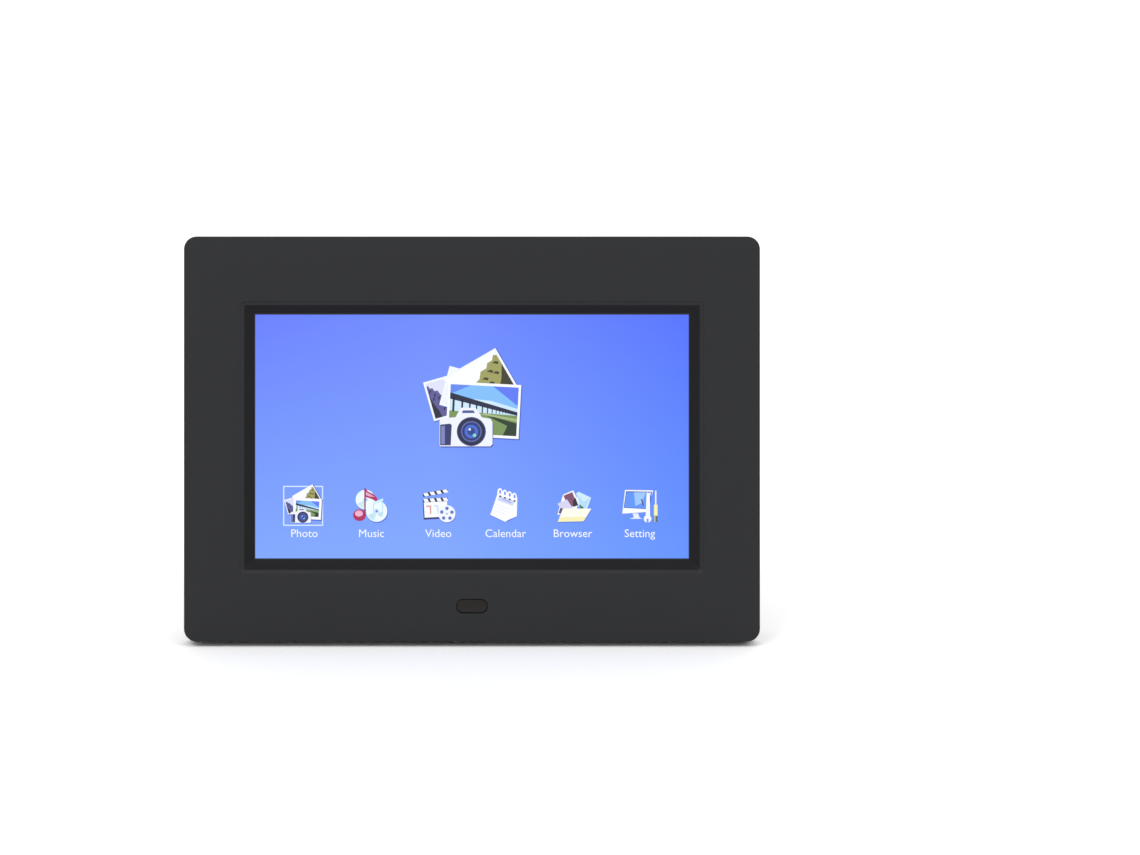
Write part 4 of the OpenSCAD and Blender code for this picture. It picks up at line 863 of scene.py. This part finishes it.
# ---- Leg sockets ----
# Two machined brass inserts: one holds the leg now, and the one at the side, for
# standing the frame upright, shows its thread at the bottom of its well.
LEG_ANGLE, SEAT_Y, SOCKET_Z, PITCH = math.radians(30), 20, 68.003, 1.6
brass = metal("machined_brass", (0.55, 0.35, 0.1), (0.68, 0.46, 0.18), 0.28, 0.7)
dressed(brass, "brass", "leg_socket_landscape")
IN_LANDSCAPE = Matrix.Translation((0, SEAT_Y, SOCKET_Z)) @ Matrix.Rotation(-LEG_ANGLE, 4, "X")
IN_PORTRAIT = (Matrix.Translation((SOCKET_Z - FRAME_W / 2, SEAT_Y, FRAME_H / 2))
               @ Matrix.Rotation(LEG_ANGLE, 4, "Z"))


def helix(mesh, ridge, turns, place, steps=32):
    """A ridge with the given (radius, y) section that climbs one pitch a turn."""
    before = set(mesh.verts)
    verts = [mesh.verts.new((radius, y, 0)) for radius, y in ridge]
    first = [mesh.edges.new(pair) for pair in zip(verts, verts[1:] + verts[:1])]
    swept = bmesh.ops.spin(mesh, geom=verts + first, cent=(0, 0, 0), axis=(0, 1, 0), dvec=(0, PITCH / steps, 0),
                           angle=math.tau * turns, steps=int(steps * turns))["geom_last"]
    bmesh.ops.contextual_create(mesh, geom=first)
    bmesh.ops.contextual_create(mesh, geom=[g for g in swept if isinstance(g, bmesh.types.BMEdge)])
    bmesh.ops.transform(mesh, matrix=place, verts=[v for v in mesh.verts if v not in before])


def tube(mesh, section, place, steps=40):
    """A ring turned about +Y from a closed (radius, y) section."""
    before = set(mesh.verts)
    verts = [mesh.verts.new((radius, y, 0)) for radius, y in section]
    first = [mesh.edges.new(pair) for pair in zip(verts, verts[1:] + verts[:1])]
    bmesh.ops.spin(mesh, geom=verts + first, cent=(0, 0, 0), axis=(0, 1, 0), angle=math.tau, steps=steps,
                   use_merge=True)
    bmesh.ops.transform(mesh, matrix=place, verts=[v for v in mesh.verts if v not in before])


mesh = bmesh.new()
tube(mesh, ((5.0, 0), (4.8, -0.2), (4.8, -6), (6.2, -6), (6.2, -3), (8.0, -3), (8.0, -1.5), (6.2, -1.5),
            (6.2, 0)), IN_PORTRAIT)
helix(mesh, ((4.85, -5.6), (4.4, -5.2), (4.4, -5.1), (4.85, -4.7)), 2.75, IN_PORTRAIT)
bmesh.ops.recalc_face_normals(mesh, faces=mesh.faces)
finished("portrait_insert", mesh, brass, "frame", "brass", "leg_socket_portrait")

# ---- Stand leg ----
# A smooth satin black rod that tapers from its shoulder to a round tip, with a
# coarse moulded thread that screws into the back.
LEG_L, LEG_TIP_R, LEG_BASE_R, LEG_EVEN = 94.7, 3.05, 5.95, 10.6
leg_black = grained_plastic("leg_black", (0.011, 0.011, 0.012), (0.014, 0.014, 0.015), 1.2, 0.003, 0.36)
REACH = LEG_L - LEG_TIP_R
profile = [(0, -4.95), (3.2, -4.95), (3.7, -4.6), (3.7, -0.01), (5.35, 0), (5.75, 0.15)]
for step in range(25):
    along = 0.5 + (REACH - 0.5) * step / 24
    share = max(LEG_L - along - LEG_EVEN, 0) / (LEG_L - LEG_EVEN)
    profile.append((LEG_TIP_R + (LEG_BASE_R - LEG_TIP_R) * share ** 2, along))
for step in range(1, 9):
    swing = math.pi / 2 * step / 8
    profile.append((LEG_TIP_R * math.cos(swing) if step < 8 else 0, REACH + LEG_TIP_R * math.sin(swing)))
mesh = bmesh.new()
turned(mesh, profile, IN_LANDSCAPE, 48)
helix(mesh, ((3.6, -4.95), (4.62, -4.35), (4.62, -4.15), (3.6, -3.55)), 2.2, IN_LANDSCAPE)
bmesh.ops.recalc_face_normals(mesh, faces=mesh.faces)
finished("stand_leg", mesh, leg_black, "leg", "leg_plastic", "leg")

# ---- Floor and lights ----
# A pale, seamless table in a bright, even studio, with one large soft lamp to
# the left, a weaker one to the right and one behind.
FLOOR_HALF = 8
floor_pale, tree, shader, place = start_material("floor_pale")
shader.inputs["Base Color"].default_value = (0.93, 0.93, 0.93, 1)
shader.inputs["Roughness"].default_value = 0.8
shader.inputs["Specular IOR Level"].default_value = 0.1
mesh = bmesh.new()
bmesh.ops.create_grid(mesh, x_segments=1, y_segments=1, size=FLOOR_HALF)
floor_data = bpy.data.meshes.new("floor")
mesh.to_mesh(floor_data)
mesh.free()
floor_data.materials.append(floor_pale)
floor = bpy.data.objects.new("floor", floor_data)
bpy.context.scene.collection.objects.link(floor)

world = bpy.data.worlds.new("studio")
bpy.context.scene.world = world
world.use_nodes = True
world.node_tree.nodes["Background"].inputs["Color"].default_value = (1, 1, 1, 1)
world.node_tree.nodes["Background"].inputs["Strength"].default_value = 1.0


AIM = Vector((0, 0, 0.07))


def softbox(name, place, size, power):
    """A square lamp that faces the middle of the frame."""
    lamp = bpy.data.lights.new(name, "AREA")
    lamp.size = size
    lamp.energy = power
    holder = bpy.data.objects.new(name, lamp)
    holder.location = place
    holder.rotation_euler = (AIM - Vector(place)).to_track_quat("-Z", "Y").to_euler()
    bpy.context.scene.collection.objects.link(holder)


softbox("key_lamp", (-1.6, -1.8, 3.0), 1.6, 34)
softbox("fill_lamp", (2.0, -1.2, 2.2), 1.6, 16)
softbox("back_lamp", (0.5, 2.4, 2.6), 1.8, 26)
bpy.context.scene.view_settings.view_transform = "Standard"
